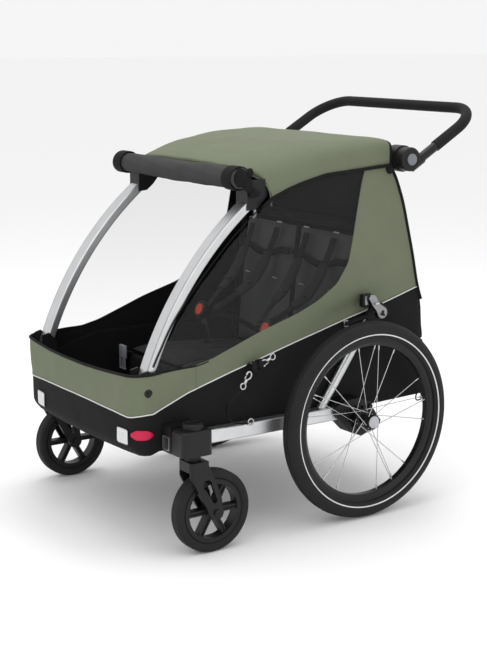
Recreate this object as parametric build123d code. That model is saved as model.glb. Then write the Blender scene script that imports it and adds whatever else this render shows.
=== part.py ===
from build123d import *
import math
import os

# Child bicycle trailer for two, shown with its stroller casters and push bar.
# Millimetres. +Z is up, the front (direction of travel) faces -Y and the trailer's own left is +X.
# Everything is laid out from the rear axle line (y = 0) and shifted by AXLE_Y on export, so that
# the origin is on the floor under the middle of the whole trailer.

AXLE_Y = 107.0

# ---------------------------------------------------------------- driving dimensions
WHEEL_X, WHEEL_R = 366.0, 250.0          # rear wheel: middle plane, tyre radius (ISO 47-406)
TYRE_W, RIM_SEAT_R = 47.0, 203.0
AXLE_Z, AXLE_R = WHEEL_R, 6.0
RUNNING = 0.05                            # radial clearance of a shaft in its bore

CASTER_X, CASTER_Y = 357.0, -504.0        # swivel axis
CASTER_R, CASTER_W, TRAIL = 100.0, 36.0, 48.0
CASTER_WHEEL_Y = CASTER_Y + TRAIL

RAIL_X, RAIL_W, RAIL_H, RAIL_Z, RAIL_WALL = 310.0, 30.0, 34.0, 265.0, 2.0
RAIL_FRONT, RAIL_REAR = -548.0, -22.0

BODY_W = 285.0                            # half width of the fabric body
CLOTH = 3.0                               # thickness given to fabric walls
NOSE_BOW, NOSE_CORNER = 16.0, 34.0        # the nose in plan: forward bulge, corner radius
SEW_Z = 412.0                             # level at which the upper cover is sewn to the lower body

ARCH_X, ARCH_W, ARCH_D = 256.0, 42.0, 22.0
PIVOT = (-578.0, 382.0)                   # arch foot pivot (y, z), which the upper frame folds about
ARCH_MID, ARCH_TOP = (-453.0, 628.0), (-277.0, 806.0)
BOW = (-284.0, 836.0)                     # cross tube between the arches, under the roof's front edge
ROLL, ROLL_R = (-322.0, 862.0), 25.0      # front cover, rolled up
SIDE_TUBE = ((-258.0, 835.0), (122.0, 893.0))
SIDE_TUBE_R = 9.0

HUB = (158.0, 886.0)                      # push bar hinge (y, z)
HUB_R, HUB_IN, HUB_OUT = 33.0, 262.0, 299.0
UPRIGHT_X, UPRIGHT_R = 268.0, 11.0
UPRIGHT_PIVOT = (118.0, 846.0)            # back frame hinge
KNEE, STUD = (76.0, 516.0), (77.4, 527.0)  # lower end of the uprights, locking stud near it
STRUT_X, STRUT_R = 301.0, 11.0
STRUT_FOOT, STRUT_TOP = (-99.0, 270.0), (55.0, 492.0)

BAR_X, BAR_R, GRIP_R = 316.0, 12.0, 14.0
BAR_BACK, BAR_TOP, BAR_BEND = 397.0, 1002.0, 92.0

BRAKE = (58.0, 232.0)                     # parking brake bar (y, z)
BRAKE_R = 5.0

# side outline, (y, z)
REAR_SEAM = (233, 560)
REAR_TOP = (141, 850)
ROOF_FRONT, ROOF_REAR = -292.0, 120.0


# ---------------------------------------------------------------- helpers
def block(x0, x1, y0, y1, z0, z1):
    """Box between two corners."""
    return Pos((x0 + x1) / 2, (y0 + y1) / 2, (z0 + z1) / 2) * Box(x1 - x0, y1 - y0, z1 - z0)


def prism(points, x0, x1):
    """Side outline, a list of (y, z), extruded from x0 to x1."""
    turn = sum(a[0] * b[1] - a[1] * b[0] for a, b in zip(points, [*points[1:], points[0]]))
    face = Plane.YZ * make_face(Polyline(*(points if turn > 0 else points[::-1]), close=True))
    return Pos(x0, 0, 0) * extrude(face, x1 - x0)


def rod(start, end, radius, inner=0.0):
    """Round bar or tube between two points."""
    axis = Vector(*end) - Vector(*start)
    plane = Plane(origin=start, z_dir=axis)
    section = Circle(radius)
    if inner:
        section -= Circle(inner)
    return extrude(plane * section, axis.length)


def x_rod(x0, x1, y, z, radius, inner=0.0):
    """Round bar or tube along X."""
    return rod((x0, y, z), (x1, y, z), radius, inner)


def mirrored(part):
    """The same part on the other side of the trailer."""
    return mirror(part, about=Plane.YZ)


def both(part):
    """Left and right copies as one group of separate solids."""
    return Compound(children=[*part.solids(), *mirrored(part).solids()])


def fillet_along(part, axis, radius):
    """Rounds the edges that run along one axis."""
    return fillet(part.edges().filter_by(axis), radius)


def grow(points, distance):
    """A side outline moved inward (negative) or outward by a distance."""
    face = make_face(Polyline(*points, close=True))
    return offset(face, distance, kind=Kind.INTERSECTION)


# ---------------------------------------------------------------- rear wheels
FLANGE_X, FLANGE_R, FLANGE_T, HOLE_R = 20.0, 23.0, 3.0, 19.0
SPOKES_PER_FLANGE, SPOKE_R = 10, 1.0
HUB_CAP_R, HUB_END = 15.5, 30.0
RING_R, RING_TEETH = 30.0, 8
RING_TURN = -11.7                         # puts a gap in front of the resting pawl
RIM_HOLE_R = 190.0


def wheel_place(part):
    """From the wheel's own frame, axis along X and outboard to +X, to the left wheel."""
    return Pos(WHEEL_X, 0, AXLE_Z) * part


def tyre():
    """Casing with hollow inside, two beads in the rim and three grooves in the tread."""
    centre, outer, wall = WHEEL_R - TYRE_W / 2, TYRE_W / 2, 3.5
    section = Pos(0, centre) * Circle(outer) - Pos(0, centre) * Circle(outer - wall)
    flange_top = RIM_SEAT_R + 6.1
    section -= Pos(0, flange_top - 20) * Rectangle(60, 40)
    for side in (-1, 1):
        section += Pos(side * 8.4, flange_top - 2.6) * Rectangle(3.8, 11)
    for x in (-8, 0, 8):
        depth = outer - math.sqrt(outer**2 - x**2)
        section -= Pos(x, WHEEL_R - depth) * Rectangle(1.8, 2.6)
    return revolve(section, Axis.X)


def rim():
    """Box-section rim with a well for the tyre's beads."""
    top, seat = RIM_SEAT_R + 6, RIM_SEAT_R - 2
    points = [(-13, top), (-10.6, top), (-10.6, seat), (10.6, seat), (10.6, top), (13, top),
              (13, 198), (8, RIM_HOLE_R), (-8, RIM_HOLE_R), (-13, 198)]
    return revolve(make_face(Polyline(*points, close=True)), Axis.X)


def spoke(flange, lean):
    """One bent spoke with its nipple: out of the flange, round and up to the rim."""
    side = math.copysign(1, flange)
    x_start = flange + side * lean * (FLANGE_T / 2 + 2.0)
    swing = math.radians(lean * 62)
    foot = Vector(x_start, 0, HOLE_R)
    rim_point = Vector(side * 3, (RIM_HOLE_R - 0.4) * math.sin(swing), (RIM_HOLE_R - 0.4) * math.cos(swing))
    foot_in_flange = Vector(flange - side * lean * 2.4, 0, HOLE_R)
    along = (rim_point - foot).normalized()
    body = rod(tuple(foot), tuple(rim_point), SPOKE_R)
    elbow = rod(tuple(foot), tuple(foot_in_flange), SPOKE_R)
    bend = Pos(*foot) * Sphere(SPOKE_R)
    nipple = rod(tuple(rim_point - along * 12), tuple(rim_point - along * 0.6), 2.0)
    return body + elbow + bend + nipple


def spokes():
    """Twenty laced spokes."""
    made = []
    step = 360 / SPOKES_PER_FLANGE
    for flange, turn in ((FLANGE_X, 0.0), (-FLANGE_X, step / 2)):
        pattern = {lean: spoke(flange, lean) for lean in (1, -1)}
        for i in range(SPOKES_PER_FLANGE):
            lean = 1 if i % 2 else -1
            made.append(Rot(turn + i * step, 0, 0) * pattern[lean])
    return Compound(children=[s for m in made for s in m.solids()])


def hub():
    """Hub shell with two drilled flanges, and the toothed parking-brake ring on its inner end."""
    half = FLANGE_T / 2
    points = [(-30, AXLE_R + RUNNING), (-30, 16), (-FLANGE_X - half, 16), (-FLANGE_X - half, FLANGE_R),
              (-FLANGE_X + half, FLANGE_R), (-FLANGE_X + half, 16.5), (-FLANGE_X + half + 4, 12),
              (FLANGE_X - half - 4, 12), (FLANGE_X - half, 16.5), (FLANGE_X - half, FLANGE_R), (FLANGE_X + half, FLANGE_R), (FLANGE_X + half, 17.6),
              (HUB_END, 17.2), (HUB_END, HUB_CAP_R + 0.3), (17, HUB_CAP_R + 0.3), (17, AXLE_R + RUNNING)]
    shell = revolve(make_face(Polyline(*points, close=True)), Axis.X)
    step = 360 / SPOKES_PER_FLANGE
    for flange, turn in ((FLANGE_X, 0.0), (-FLANGE_X, step / 2)):
        for i in range(SPOKES_PER_FLANGE):
            hole = x_rod(flange - 2, flange + 2, 0, HOLE_R, SPOKE_R + 0.25)
            shell -= Rot(turn + i * step, 0, 0) * hole
    ring = x_rod(-29.8, -26, 0, 0, RING_R, 16.1)
    for i in range(RING_TEETH):
        gap = Pos(-28, 0, RING_R) * Box(6, 10, 12)
        ring -= Rot(RING_TURN + i * 360 / RING_TEETH, 0, 0) * gap
    return Compound(children=[*shell.solids(), *ring.solids()])


def hub_button():
    """Domed grey release cap in the hub's outer end."""
    cap = x_rod(23, 33, 0, 0, HUB_CAP_R)
    return fillet(cap.edges().sort_by(Axis.X)[-1], 3)


def wheel_axle():
    """Stub axle that passes through the hub into the receiver."""
    return x_rod(-72, 16.5, 0, 0, AXLE_R)


# ---------------------------------------------------------------- casters
def caster_bracket():
    """Housing that clamps on the side rail and holds the swivel stem."""
    body = block(327, 390, -548, -466, 245, 304)
    body = fillet_along(body, Axis.Z, 14)
    body = fillet(body.edges().group_by(Axis.Z)[-1], 7)
    turret = rod((CASTER_X, CASTER_Y, 296), (CASTER_X, CASTER_Y, 318), 25)
    body += fillet(turret.edges().group_by(Axis.Z)[-1], 4)
    clamp = block(RAIL_X - RAIL_W / 2 - 5, 330, -546, -470, RAIL_Z - RAIL_H / 2 - 5, 306)
    clamp = fillet(clamp.edges().filter_by(Axis.Y).group_by(Axis.X)[0], 4)
    made = body + clamp
    made -= block(RAIL_X - RAIL_W / 2, RAIL_X + RAIL_W / 2, -560, -460, RAIL_Z - RAIL_H / 2, RAIL_Z + RAIL_H / 2)
    made -= rod((CASTER_X, CASTER_Y, 230), (CASTER_X, CASTER_Y, 300.5), 8 + RUNNING)
    made -= rod((CASTER_X, CASTER_Y, 312), (CASTER_X, CASTER_Y, 330), 17)
    made -= rod((CASTER_X, CASTER_Y, 304), (CASTER_X, CASTER_Y, 313), 4 + RUNNING)
    return made


def swivel_lock():
    """Round turn knob with a finger fin, in the bracket's top."""
    knob = rod((CASTER_X, CASTER_Y, 312.3), (CASTER_X, CASTER_Y, 317), 16.4)
    fin = block(CASTER_X - 3, CASTER_X + 3, CASTER_Y - 14, CASTER_Y + 14, 316, 322)
    fin = fillet(fin.edges().filter_by(Axis.X).group_by(Axis.Z)[-1], 4)
    stem = rod((CASTER_X, CASTER_Y, 304.5), (CASTER_X, CASTER_Y, 313), 4)
    return knob + fin + stem


def fork_leg(x0, x1):
    """One side plate of the fork, from the crown back to the wheel's axle, with its slot."""
    y, z = CASTER_WHEEL_Y, CASTER_R
    leg = prism([(CASTER_Y - 22, 220), (CASTER_Y + 26, 220), (CASTER_Y + 40, 190), (y + 13, 136), (y + 17, z),
                 (y - 15, z - 8), (CASTER_Y - 21, 192)], x0, x1)
    leg = fillet_along(leg, Axis.X, 6)
    leg += prism([(CASTER_Y - 22, 229), (CASTER_Y + 26, 229), (CASTER_Y + 26, 208), (CASTER_Y - 22, 208)], x0, x1)
    leg += x_rod(x0, x1, y, z, 18)
    leg -= x_rod(x0 - 1, x1 + 1, y - 26, 172, 12)
    leg -= x_rod(x0 - 1, x1 + 1, y - 6, 131, 6.5)
    leg -= prism([(y - 38, 172), (y - 14, 172), (y + 0.5, 131), (y - 12.5, 131)], x0 - 1, x1 + 1)
    leg -= x_rod(x0 - 1, x1 + 1, y, z, 4 + RUNNING)
    return leg


def caster_fork():
    """Stem, crown and two legs in one moulding, with the wheel's bolt as a second solid."""
    inner, outer = CASTER_W / 2 + 3.5, CASTER_W / 2 + 12
    crown = block(CASTER_X - outer, CASTER_X + outer, CASTER_Y - 22, CASTER_Y + 26, 205, 229)
    made = crown + fork_leg(CASTER_X + inner, CASTER_X + outer) + fork_leg(CASTER_X - outer, CASTER_X - inner)
    made &= fillet_along(block(CASTER_X - outer, CASTER_X + outer, CASTER_Y - 22, CASTER_Y + 75, 60, 229), Axis.Z, 10)
    made -= x_rod(CASTER_X - inner, CASTER_X + inner, CASTER_WHEEL_Y, CASTER_R, CASTER_R + 5)
    made += rod((CASTER_X, CASTER_Y, 228), (CASTER_X, CASTER_Y, 243), 19)
    made += rod((CASTER_X, CASTER_Y, 228), (CASTER_X, CASTER_Y, 300), 8)
    bolt = x_rod(CASTER_X - outer - 1, CASTER_X + outer + 1, CASTER_WHEEL_Y, CASTER_R, 4)
    for side in (-1, 1):
        face = CASTER_X + side * outer
        bolt += x_rod(min(face, face + side * 4), max(face, face + side * 4), CASTER_WHEEL_Y, CASTER_R, 8)
    return Compound(children=[*made.solids(), *bolt.solids()])


def caster_core():
    """Moulded wheel centre: hub, six grooved spokes and rim."""
    core = x_rod(-18, 18, 0, 0, 15) + x_rod(-14, 14, 0, 0, 77, 66)
    arm = Pos(0, 0, 41) * Box(22, 13, 56)
    arm -= Pos(11, 0, 42) * Box(6, 5, 42)
    arm -= Pos(-11, 0, 42) * Box(6, 5, 42)
    for i in range(6):
        core += Rot(i * 60 + 30, 0, 0) * arm
    core -= x_rod(-30, 30, 0, 0, 4 + RUNNING)
    return Pos(CASTER_X, CASTER_WHEEL_Y, CASTER_R) * core


def caster_tyre():
    """Solid tyre with a rounded tread."""
    half = CASTER_W / 2
    section = Pos(0, 88.6) * RectangleRounded(2 * half, 22.8, 9)
    section -= Pos(0, 76) * Rectangle(28.2, 2.2)
    return Pos(CASTER_X, CASTER_WHEEL_Y, CASTER_R) * revolve(section, Axis.X)


# ---------------------------------------------------------------- chassis
def rect_tube(x0, x1, z0, z1, y0, y1, wall, radius=4.0):
    """Rectangular tube along Y with rounded corners."""
    w, h = x1 - x0, z1 - z0
    section = RectangleRounded(w, h, radius) - RectangleRounded(w - 2 * wall, h - 2 * wall, radius - wall + 0.2)
    plane = Plane(origin=((x0 + x1) / 2, y0, (z0 + z1) / 2), x_dir=(1, 0, 0), z_dir=(0, 1, 0))
    return extrude(plane * section, y1 - y0)


def side_rail():
    x0, x1 = RAIL_X - RAIL_W / 2, RAIL_X + RAIL_W / 2
    z0, z1 = RAIL_Z - RAIL_H / 2, RAIL_Z + RAIL_H / 2
    return rect_tube(x0 + 0.2, x1 - 0.2, z0 + 0.2, z1 - 0.2, RAIL_FRONT, RAIL_REAR, RAIL_WALL)


def front_cross_tube():
    """Flat tube between the rails, under the floor."""
    section = RectangleRounded(30, 12, 3) - RectangleRounded(26, 8, 1.5)
    inner = RAIL_X - RAIL_W / 2
    plane = Plane(origin=(-inner, -425, 255), x_dir=(0, 1, 0), z_dir=(1, 0, 0))
    return extrude(plane * section, 2 * inner)


def axle_tube():
    """Round cross tube between the two axle receivers."""
    return x_rod(-288, 288, 26, 234, 14, 11.5)


def axle_receiver():
    """Plastic end block: takes the rail's end, the cross tube, the stub axle and the brake bar."""
    y, z = BRAKE
    outline = [(-72, 283), (-72, 262), (-22, 212), (8, 200), (40, 206), (50, 236), (42, 282), (0, 300), (-40, 297)]
    made = prism(outline, 288, 335)
    made += x_rod(304, 318, y, z, 11) + prism([(20, z - 11), (y, z - 11), (y, z + 11), (20, z + 24)], 304, 318)
    made -= block(RAIL_X - RAIL_W / 2, RAIL_X + RAIL_W / 2, -120, RAIL_REAR,
                  RAIL_Z - RAIL_H / 2, RAIL_Z + RAIL_H / 2)
    made -= x_rod(292, 340, 0, AXLE_Z, AXLE_R + RUNNING)
    return made - x_rod(290, 340, y, z, BRAKE_R + RUNNING)


def strut():
    """Silver tube from the side rail up to the fold latch."""
    foot, top = (STRUT_X, *STRUT_FOOT), (STRUT_X, *STRUT_TOP)
    made = rod(foot, top, STRUT_R, STRUT_R - 2)
    return made - block(270, 340, -200, 0, 200, RAIL_Z + RAIL_H / 2)


def latch_housing():
    """Plastic end of the strut: plug, outer plate with the lever's pin, inner seat for the frame's stud."""
    y, z = STRUT_TOP
    direction = (Vector(0, *STRUT_TOP) - Vector(0, *STRUT_FOOT)).normalized()
    start = Vector(STRUT_X, y, z)
    plug = rod(tuple(start - direction * 14), tuple(start), STRUT_R - 2.1)
    cap = rod(tuple(start), tuple(start + direction * 16), STRUT_R)
    plate = prism([(y - 26, z - 14), (y + 8, z - 10), (y + 50, z + 6), (y + 44, z + 26), (y - 2, z + 38)], 312, 317)
    web = prism([(y - 4, z + 8), (y + 22, z + 2), (y + 38, z + 20), (y + 34, z + 36), (y + 18, z + 36)], 290.2, 313)
    seat = prism([(STUD[0] + 9.8, STUD[1] - 3.4), (STUD[0] + 15, STUD[1] + 2), (STUD[0] + 2, STUD[1] + 15),
                  (STUD[0] - 3.4, STUD[1] + 9.8)], 286, 294)
    pin = x_rod(316, 332, y + 24, z + 10, 3)
    made = plug + cap + plate + web + seat + pin
    return made - x_rod(280, 289.6, *STUD, 4.3)


def latch_lever():
    """Stamped lever with an eye, a hook and a finger tab."""
    y, z = STRUT_TOP[0] + 24, STRUT_TOP[1] + 10
    eye = x_rod(318, 322, y, z, 11)
    arm = prism([(y - 4, z - 9), (y + 8, z + 6), (y - 14, z + 34), (y - 26, z + 28)], 318, 322)
    tab = fillet_along(block(318, 331, y - 27, y - 15, z + 27, z + 33), Axis.Y, 1.5)
    return eye + arm + tab - x_rod(310, 340, y, z, 3 + RUNNING)


def arch_foot():
    """Clevis in the nose corner that the arch's foot turns in."""
    y, z = PIVOT
    inner0, inner1 = ARCH_X - ARCH_W / 2 - 6, ARCH_X - ARCH_W / 2 - 0.8
    outer0, outer1 = ARCH_X + ARCH_W / 2 + 0.8, BODY_W - CLOTH - 0.4
    side = [(y - 15, z - 26), (y + 20, z - 26), (y + 26, z + 28), (y + 4, z + 52), (y - 15, z + 48)]
    made = prism(side, inner0, inner1) + prism(side, outer0, outer1)
    made += block(inner0, outer1, y - 15, y + 20, z - 40, z - 26)
    gap = CLOTH + 0.4
    made &= Pos(0, 0, 150) * extrude(nose_plan(BODY_W - gap, TUB_FRONT + gap, TUB_REAR, NOSE_BOW, NOSE_CORNER - gap), 600)
    return made - x_rod(200, 300, y, z, 4)


def pivot_pin():
    """Pin through the arch's foot, with a round cap outside the fabric."""
    y, z = PIVOT
    pin = x_rod(ARCH_X - ARCH_W / 2 - 9, BODY_W + 1.5, y, z, 3.95)
    cap = x_rod(BODY_W + 0.3, BODY_W + 5, y, z, 10)
    cap = fillet(cap.edges().sort_by(Axis.X)[-1], 2)
    cap += x_rod(BODY_W + 4, BODY_W + 7, y, z, 4.5)
    nut = x_rod(ARCH_X - ARCH_W / 2 - 11, ARCH_X - ARCH_W / 2 - 6.2, y, z, 7)
    return pin + cap + nut


def brake_bar():
    """Parking brake: a bar across the trailer with a foot pedal, an arm at each end and a hardened tooth on each arm."""
    y, z = BRAKE
    made = x_rod(-339, 339, y, z, BRAKE_R)
    tread = prism([(y - 2, z - 4), (y + 26, z - 12), (y + 54, z - 10), (y + 54, z - 5), (y + 27, z - 6),
                   (y + 2, z + 4)], -58, 58)
    made += tread
    away = Vector(0, y, z) - Vector(0, 0, AXLE_Z)
    lift = math.degrees(math.atan2(away.Z, away.Y)) + math.degrees(math.acos(34.0 / away.length))
    tip = (34.0 * math.cos(math.radians(lift)), AXLE_Z + 34.0 * math.sin(math.radians(lift)))
    reach = Vector(0, tip[0] - y, tip[1] - z).normalized()
    inward = (Vector(0, 0, AXLE_Z) - Vector(0, *tip)).normalized()
    arm = [(0, 5), (-52, -6), (-52, -12), (0, -7)]
    tooth = [(-46.5, 5 - 11 * 46.5 / 52), (-49.9, 5 - 11 * 49.9 / 52), (-49.9, 1.2), (-46.5, 1.2)]
    teeth = []
    for side in (-1, 1):
        x0, x1 = sorted((side * 336.2, side * 339.6))

        def plate(outline):
            corners = [Vector(0, y, z) - reach * along + inward * deep for along, deep in outline]
            return prism([(c.Y, c.Z) for c in corners], x0, x1)

        made += plate(arm)
        made += x_rod(x0, x1, y, z, 9)
        teeth += plate(tooth).solids()
    return Compound(children=list(made.solids()) + teeth)


# ---------------------------------------------------------------- folding upper frame
def arch_section():
    """Flat aluminium profile: hollow, with a fabric groove along its outer front edge."""
    section = RectangleRounded(ARCH_W, ARCH_D, 4.5) - RectangleRounded(ARCH_W - 9, ARCH_D - 7, 2)
    return section - Pos(ARCH_W / 2 - 4, ARCH_D / 2 - 1) * Rectangle(2.2, 2.6)


def arch():
    """Curved front tube from the nose corner up to the roof."""
    y, z = PIVOT
    curve = ThreePointArc((ARCH_X, y, z), (ARCH_X, *ARCH_MID), (ARCH_X, *ARCH_TOP))
    start = curve % 0
    foot = Vector(ARCH_X, y, z) - start * 11
    path = Wire([Line(tuple(foot), (ARCH_X, y, z)), curve])
    plane = Plane(origin=tuple(foot), x_dir=(1, 0, 0), z_dir=tuple(start))
    made = sweep(plane * (Rot(0, 0, 180) * mirror(arch_section(), about=Plane.YZ)), path=path)
    return made - x_rod(ARCH_X - 30, ARCH_X + 30, y, z, 4 + RUNNING)


def front_bow():
    """Cross tube between the two arches."""
    return x_rod(-262, 262, *BOW, 8.5, 6.5)


def roof_connector():
    """Plastic corner that joins an arch, the front bow and the tube under the roof edge."""
    outline = [(-300, 784), (-300, 845), (-286, 852), (-236, 858), (-230, 832), (-258, 800), (-276, 786)]
    made = prism(outline, ARCH_X - ARCH_W / 2 - 3, ARCH_X + ARCH_W / 2 + 3)
    made -= x_rod(230, 262.2, *BOW, 8.6)
    made -= rod((ARCH_X, *SIDE_TUBE[0]), (ARCH_X, *SIDE_TUBE[1]), SIDE_TUBE_R + 0.1)
    made -= arch()
    rivet = x_rod(ARCH_X + ARCH_W / 2 + 2, ARCH_X + ARCH_W / 2 + 4.4, -262, 822, 5)
    return made + rivet


def rolled_cover():
    """The front cover, rolled up and tied in front of the bow."""
    return x_rod(-287, 287, *ROLL, ROLL_R)


def roof_side_tube():
    """Tube under the roof edge, from the connector back to the hub."""
    return rod((ARCH_X, *SIDE_TUBE[0]), (ARCH_X, *SIDE_TUBE[1]), SIDE_TUBE_R, SIDE_TUBE_R - 2)


def hub_housing():
    """Plastic housing at the rear top corner: push bar bearing, side tube socket, back frame pin."""
    y, z = HUB
    py, pz = UPRIGHT_PIVOT
    made = x_rod(HUB_IN, HUB_OUT, y, z, HUB_R)
    made = fillet(made.edges().sort_by(Axis.X)[0], 4)
    made += prism([(92, 877), (92, 901), (134, 907), (y, z + 30), (y + 10, z - 28), (130, 866)], 246, 272)
    made += prism([(py - 12, pz), (py - 12, pz + 36), (py + 24, pz + 40), (py + 12, pz)], 246, 256)
    made += x_rod(246, 256, py, pz, 13)
    made += x_rod(246, 281, py, pz, 5)
    return made - rod((ARCH_X, *SIDE_TUBE[0]), (ARCH_X, *SIDE_TUBE[1]), SIDE_TUBE_R + 0.1)


def back_frame():
    """Bent tube: two uprights and a cross tube that carries the seat backs."""
    top, low = UPRIGHT_PIVOT, KNEE
    share = 0.42
    cross_y, cross_z = (top[i] + (low[i] - top[i]) * share for i in (0, 1))
    made = x_rod(-UPRIGHT_X, UPRIGHT_X, cross_y, cross_z, 9)
    for side in (-1, 1):
        x = side * UPRIGHT_X
        made += rod((x, *top), (x, *low), UPRIGHT_R)
        made += x_rod(x - 11.5, x + 11.5, *top, 14)
        x0, x1 = sorted((x, side * 289))
        made += x_rod(x0, x1, *STUD, 4)
        made -= x_rod(x - 12, x + 12, *top, 5 + RUNNING)
    return made


def handlebar_wire():
    """Centre line of the push bar, from one hub round to the other."""
    y, z = HUB
    low = Vector(BAR_X, y + 20, z - 12)
    corner = Vector(BAR_X, BAR_BACK, BAR_TOP)
    points = [low, corner, Vector(-BAR_X, BAR_BACK, BAR_TOP), Vector(-BAR_X, low.Y, low.Z)]
    return FilletPolyline(*[tuple(p) for p in points], radius=BAR_BEND)


def handlebar_tube():
    wire = handlebar_wire()
    plane = Plane(origin=tuple(wire @ 0), z_dir=tuple(wire % 0))
    return sweep(plane * (Circle(BAR_R) - Circle(BAR_R - 2)), path=wire)


def handlebar_grip():
    """Foam sleeve over the bar's legs, corners and cross bar."""
    wire = handlebar_wire()
    start = 0.075
    trimmed = wire.trim(start, 1 - start)
    plane = Plane(origin=tuple(trimmed @ 0), z_dir=tuple(trimmed % 0))
    return sweep(plane * (Circle(GRIP_R) - Circle(BAR_R + 0.05)), path=trimmed)


def handlebar_knuckle():
    """Round end of the push bar that turns on the hub housing."""
    y, z = HUB
    made = x_rod(HUB_OUT + 0.4, 331, y, z, 30)
    made = fillet(made.edges().sort_by(Axis.X)[-1], 5)
    wire = handlebar_wire()
    made += rod(tuple(wire @ 0 - (wire % 0) * 14), tuple(wire @ 0 + (wire % 0) * 26), BAR_R + 3)
    made -= rod(tuple(wire @ 0), tuple(wire @ 0 + (wire % 0) * 60), BAR_R + 0.05)
    made -= x_rod(322, 340, y, z, 14.8)
    return made


def handlebar_button():
    """Grey push button that frees the bar."""
    y, z = HUB
    made = x_rod(327, 335, y, z, 14.5)
    return fillet(made.edges().sort_by(Axis.X)[-1], 2)


# ---------------------------------------------------------------- fabric body and seats
def nose_plan(half, front, rear, bow, corner):
    """Plan outline: straight sides and rear, a front edge that bulges forward, rounded corners."""
    edge = ThreePointArc((-half, front), (0, front - bow), (half, front))
    sides = Polyline((half, front), (half, rear), (-half, rear), (-half, front))
    face = make_face([edge, *sides.edges()])
    return fillet(face.vertices().group_by(Axis.Y)[0], corner)


TUB_BOTTOM = [(-700, 330), (-595, 236), (-578, 226), (-490, 256), (-440, 262), (70, 262), (262, 268)]
TUB_TOP = [(250, SEW_Z), (-384, SEW_Z), (-416, 430), (-448, 431), (-560, 436), (-700, 436)]
TUB_REAR, TUB_FRONT = 300.0, -609.0


def tub_solid(outline, shrink):
    """The lower body as a block: side outline crossed with plan outline."""
    half = BODY_W - shrink
    side = prism(outline, -half, half)
    plan = nose_plan(half, TUB_FRONT + shrink, TUB_REAR, NOSE_BOW, NOSE_CORNER - shrink)
    return side & (Pos(0, 0, 150) * extrude(plan, 600))


def tub():
    """Lower fabric body: floor, nose and low sides in one sewn shell, open at the top."""
    inside = [(y, z + CLOTH) for y, z in TUB_BOTTOM[:-1]]
    inside += [(262 - CLOTH, 268 + CLOTH), (250 - CLOTH, SEW_Z), (250 - CLOTH, 600), (-700, 600)]
    made = tub_solid([*TUB_BOTTOM, *TUB_TOP], 0) - tub_solid(inside, CLOTH)
    for side in (-1, 1):
        x0, x1 = sorted((side * 240, side * 300))
        made -= x_rod(x0, x1, *PIVOT, 4.2)
    return made


def upper_cover():
    """Sewn upper cover: a side with a mesh window on each hand and the wall between them at the rear."""
    outline = [(250, SEW_Z + 0.6), REAR_SEAM, REAR_TOP, (118, 860), (11, 862), (-78, 858), (-151, 840), (-228, 812),
               (-244, 796), (-262, 782), (-352, 712), (-436, 626), (-500, 546), (-548, 470), (-556, 437),
               (-448, 432), (-416, 431), (-384, SEW_Z + 0.6)]
    made = prism(outline, -BODY_W, BODY_W)
    (y0, z0), (y1, z1), (y2, z2) = (250, SEW_Z - 1), REAR_SEAM, REAR_TOP
    inside = [(y0 - 3, z0), (y1 - 3, z1 - 1), (y2 - 12.5, z2 + 30), (-700, 900), (-700, 300), (y0 - 3, 300)]
    made -= prism(inside, -BODY_W + CLOTH, BODY_W - CLOTH)
    made += prism([REAR_TOP, (REAR_TOP[0] - 4, REAR_TOP[1]), (122, 902), (125.5, 902)], -242, 242)
    for side in (-1, 1):
        x0, x1 = sorted((side * 270, side * 300))
        made -= x_rod(x0, x1, *STUD, 4.5)
    return made


def seat():
    """Two seat bottoms on one foam base."""
    made = prism([(-330, 330), (-335, 352), (-316, 366), (22, 346), (22, 322)], -246, 246)
    made -= prism([(-340, 352), (-316, 362), (30, 342), (30, 352), (-316, 372), (-350, 372)], -4, 4)
    return made


def seat_back():
    """Two seat backs hung from the cross tube."""
    return prism([(14, 350), (34, 350), (72, 700), (52, 704)], -246, 246)


def crotch_buckle(x):
    """Round buckle on its stiff strap, standing up from the seat."""
    y, z = -156.0, 462.0
    strap = prism([(y + 18, 362), (y + 22, 362), (y + 8, z - 12), (y + 4, z - 12)], x - 12, x + 12)
    tilt = Plane(origin=(x, y, z), z_dir=(0, -0.94, 0.34))
    body = extrude(tilt * Circle(24), 7, both=True)
    body -= extrude(tilt.offset(1) * Circle(15.4), 10)
    return strap + body


def buckle_button(x):
    """Red release button in the buckle."""
    tilt = Plane(origin=(x, -156.0, 462.0), z_dir=(0, -0.94, 0.34))
    made = extrude(tilt.offset(3.6) * Circle(15), 5)
    return made


def harness():
    """Shoulder straps, two to each seat, down from the seat back."""
    made = []
    for centre in (-156, 156):
        for side in (-1, 1):
            x = centre + side * 46
            made.append(prism([(40, 636), (36, 640), (-74, 500), (-150, 488), (-150, 484), (-72, 496)], x - 12, x + 12))
    return Compound(children=[s for m in made for s in m.solids()])


ROOF_X = BODY_W + 4.3                     # half width of the roof over its turned-down flaps
ROOF_CAMBER = 30.0                        # the middle of the roof stands this much above its sides
ROOF_LINE = [(ROOF_FRONT, 858), (-255, 884), (-200, 904), (-120, 915), (0, 917), (ROOF_REAR, 908)]


def roof_block(shrink):
    """Solid under the roof's skin, lofted from front to rear through cambered sections."""
    sections = []
    half = ROOF_X - shrink
    for y, z in ROOF_LINE:
        shoulder, middle = z - shrink, z - shrink + ROOF_CAMBER
        arc = ThreePointArc((-half, shoulder), (0, middle), (half, shoulder))
        sides = Polyline((half, shoulder), (half, 760), (-half, 760), (-half, shoulder))
        face = make_face([arc, *sides.edges()])
        face = fillet(face.vertices().group_by(Axis.Y)[-1], 12 - shrink)
        sections.append(Plane(origin=(0, y, 0), x_dir=(1, 0, 0), z_dir=(0, -1, 0)) * face)
    return loft(sections)


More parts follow.
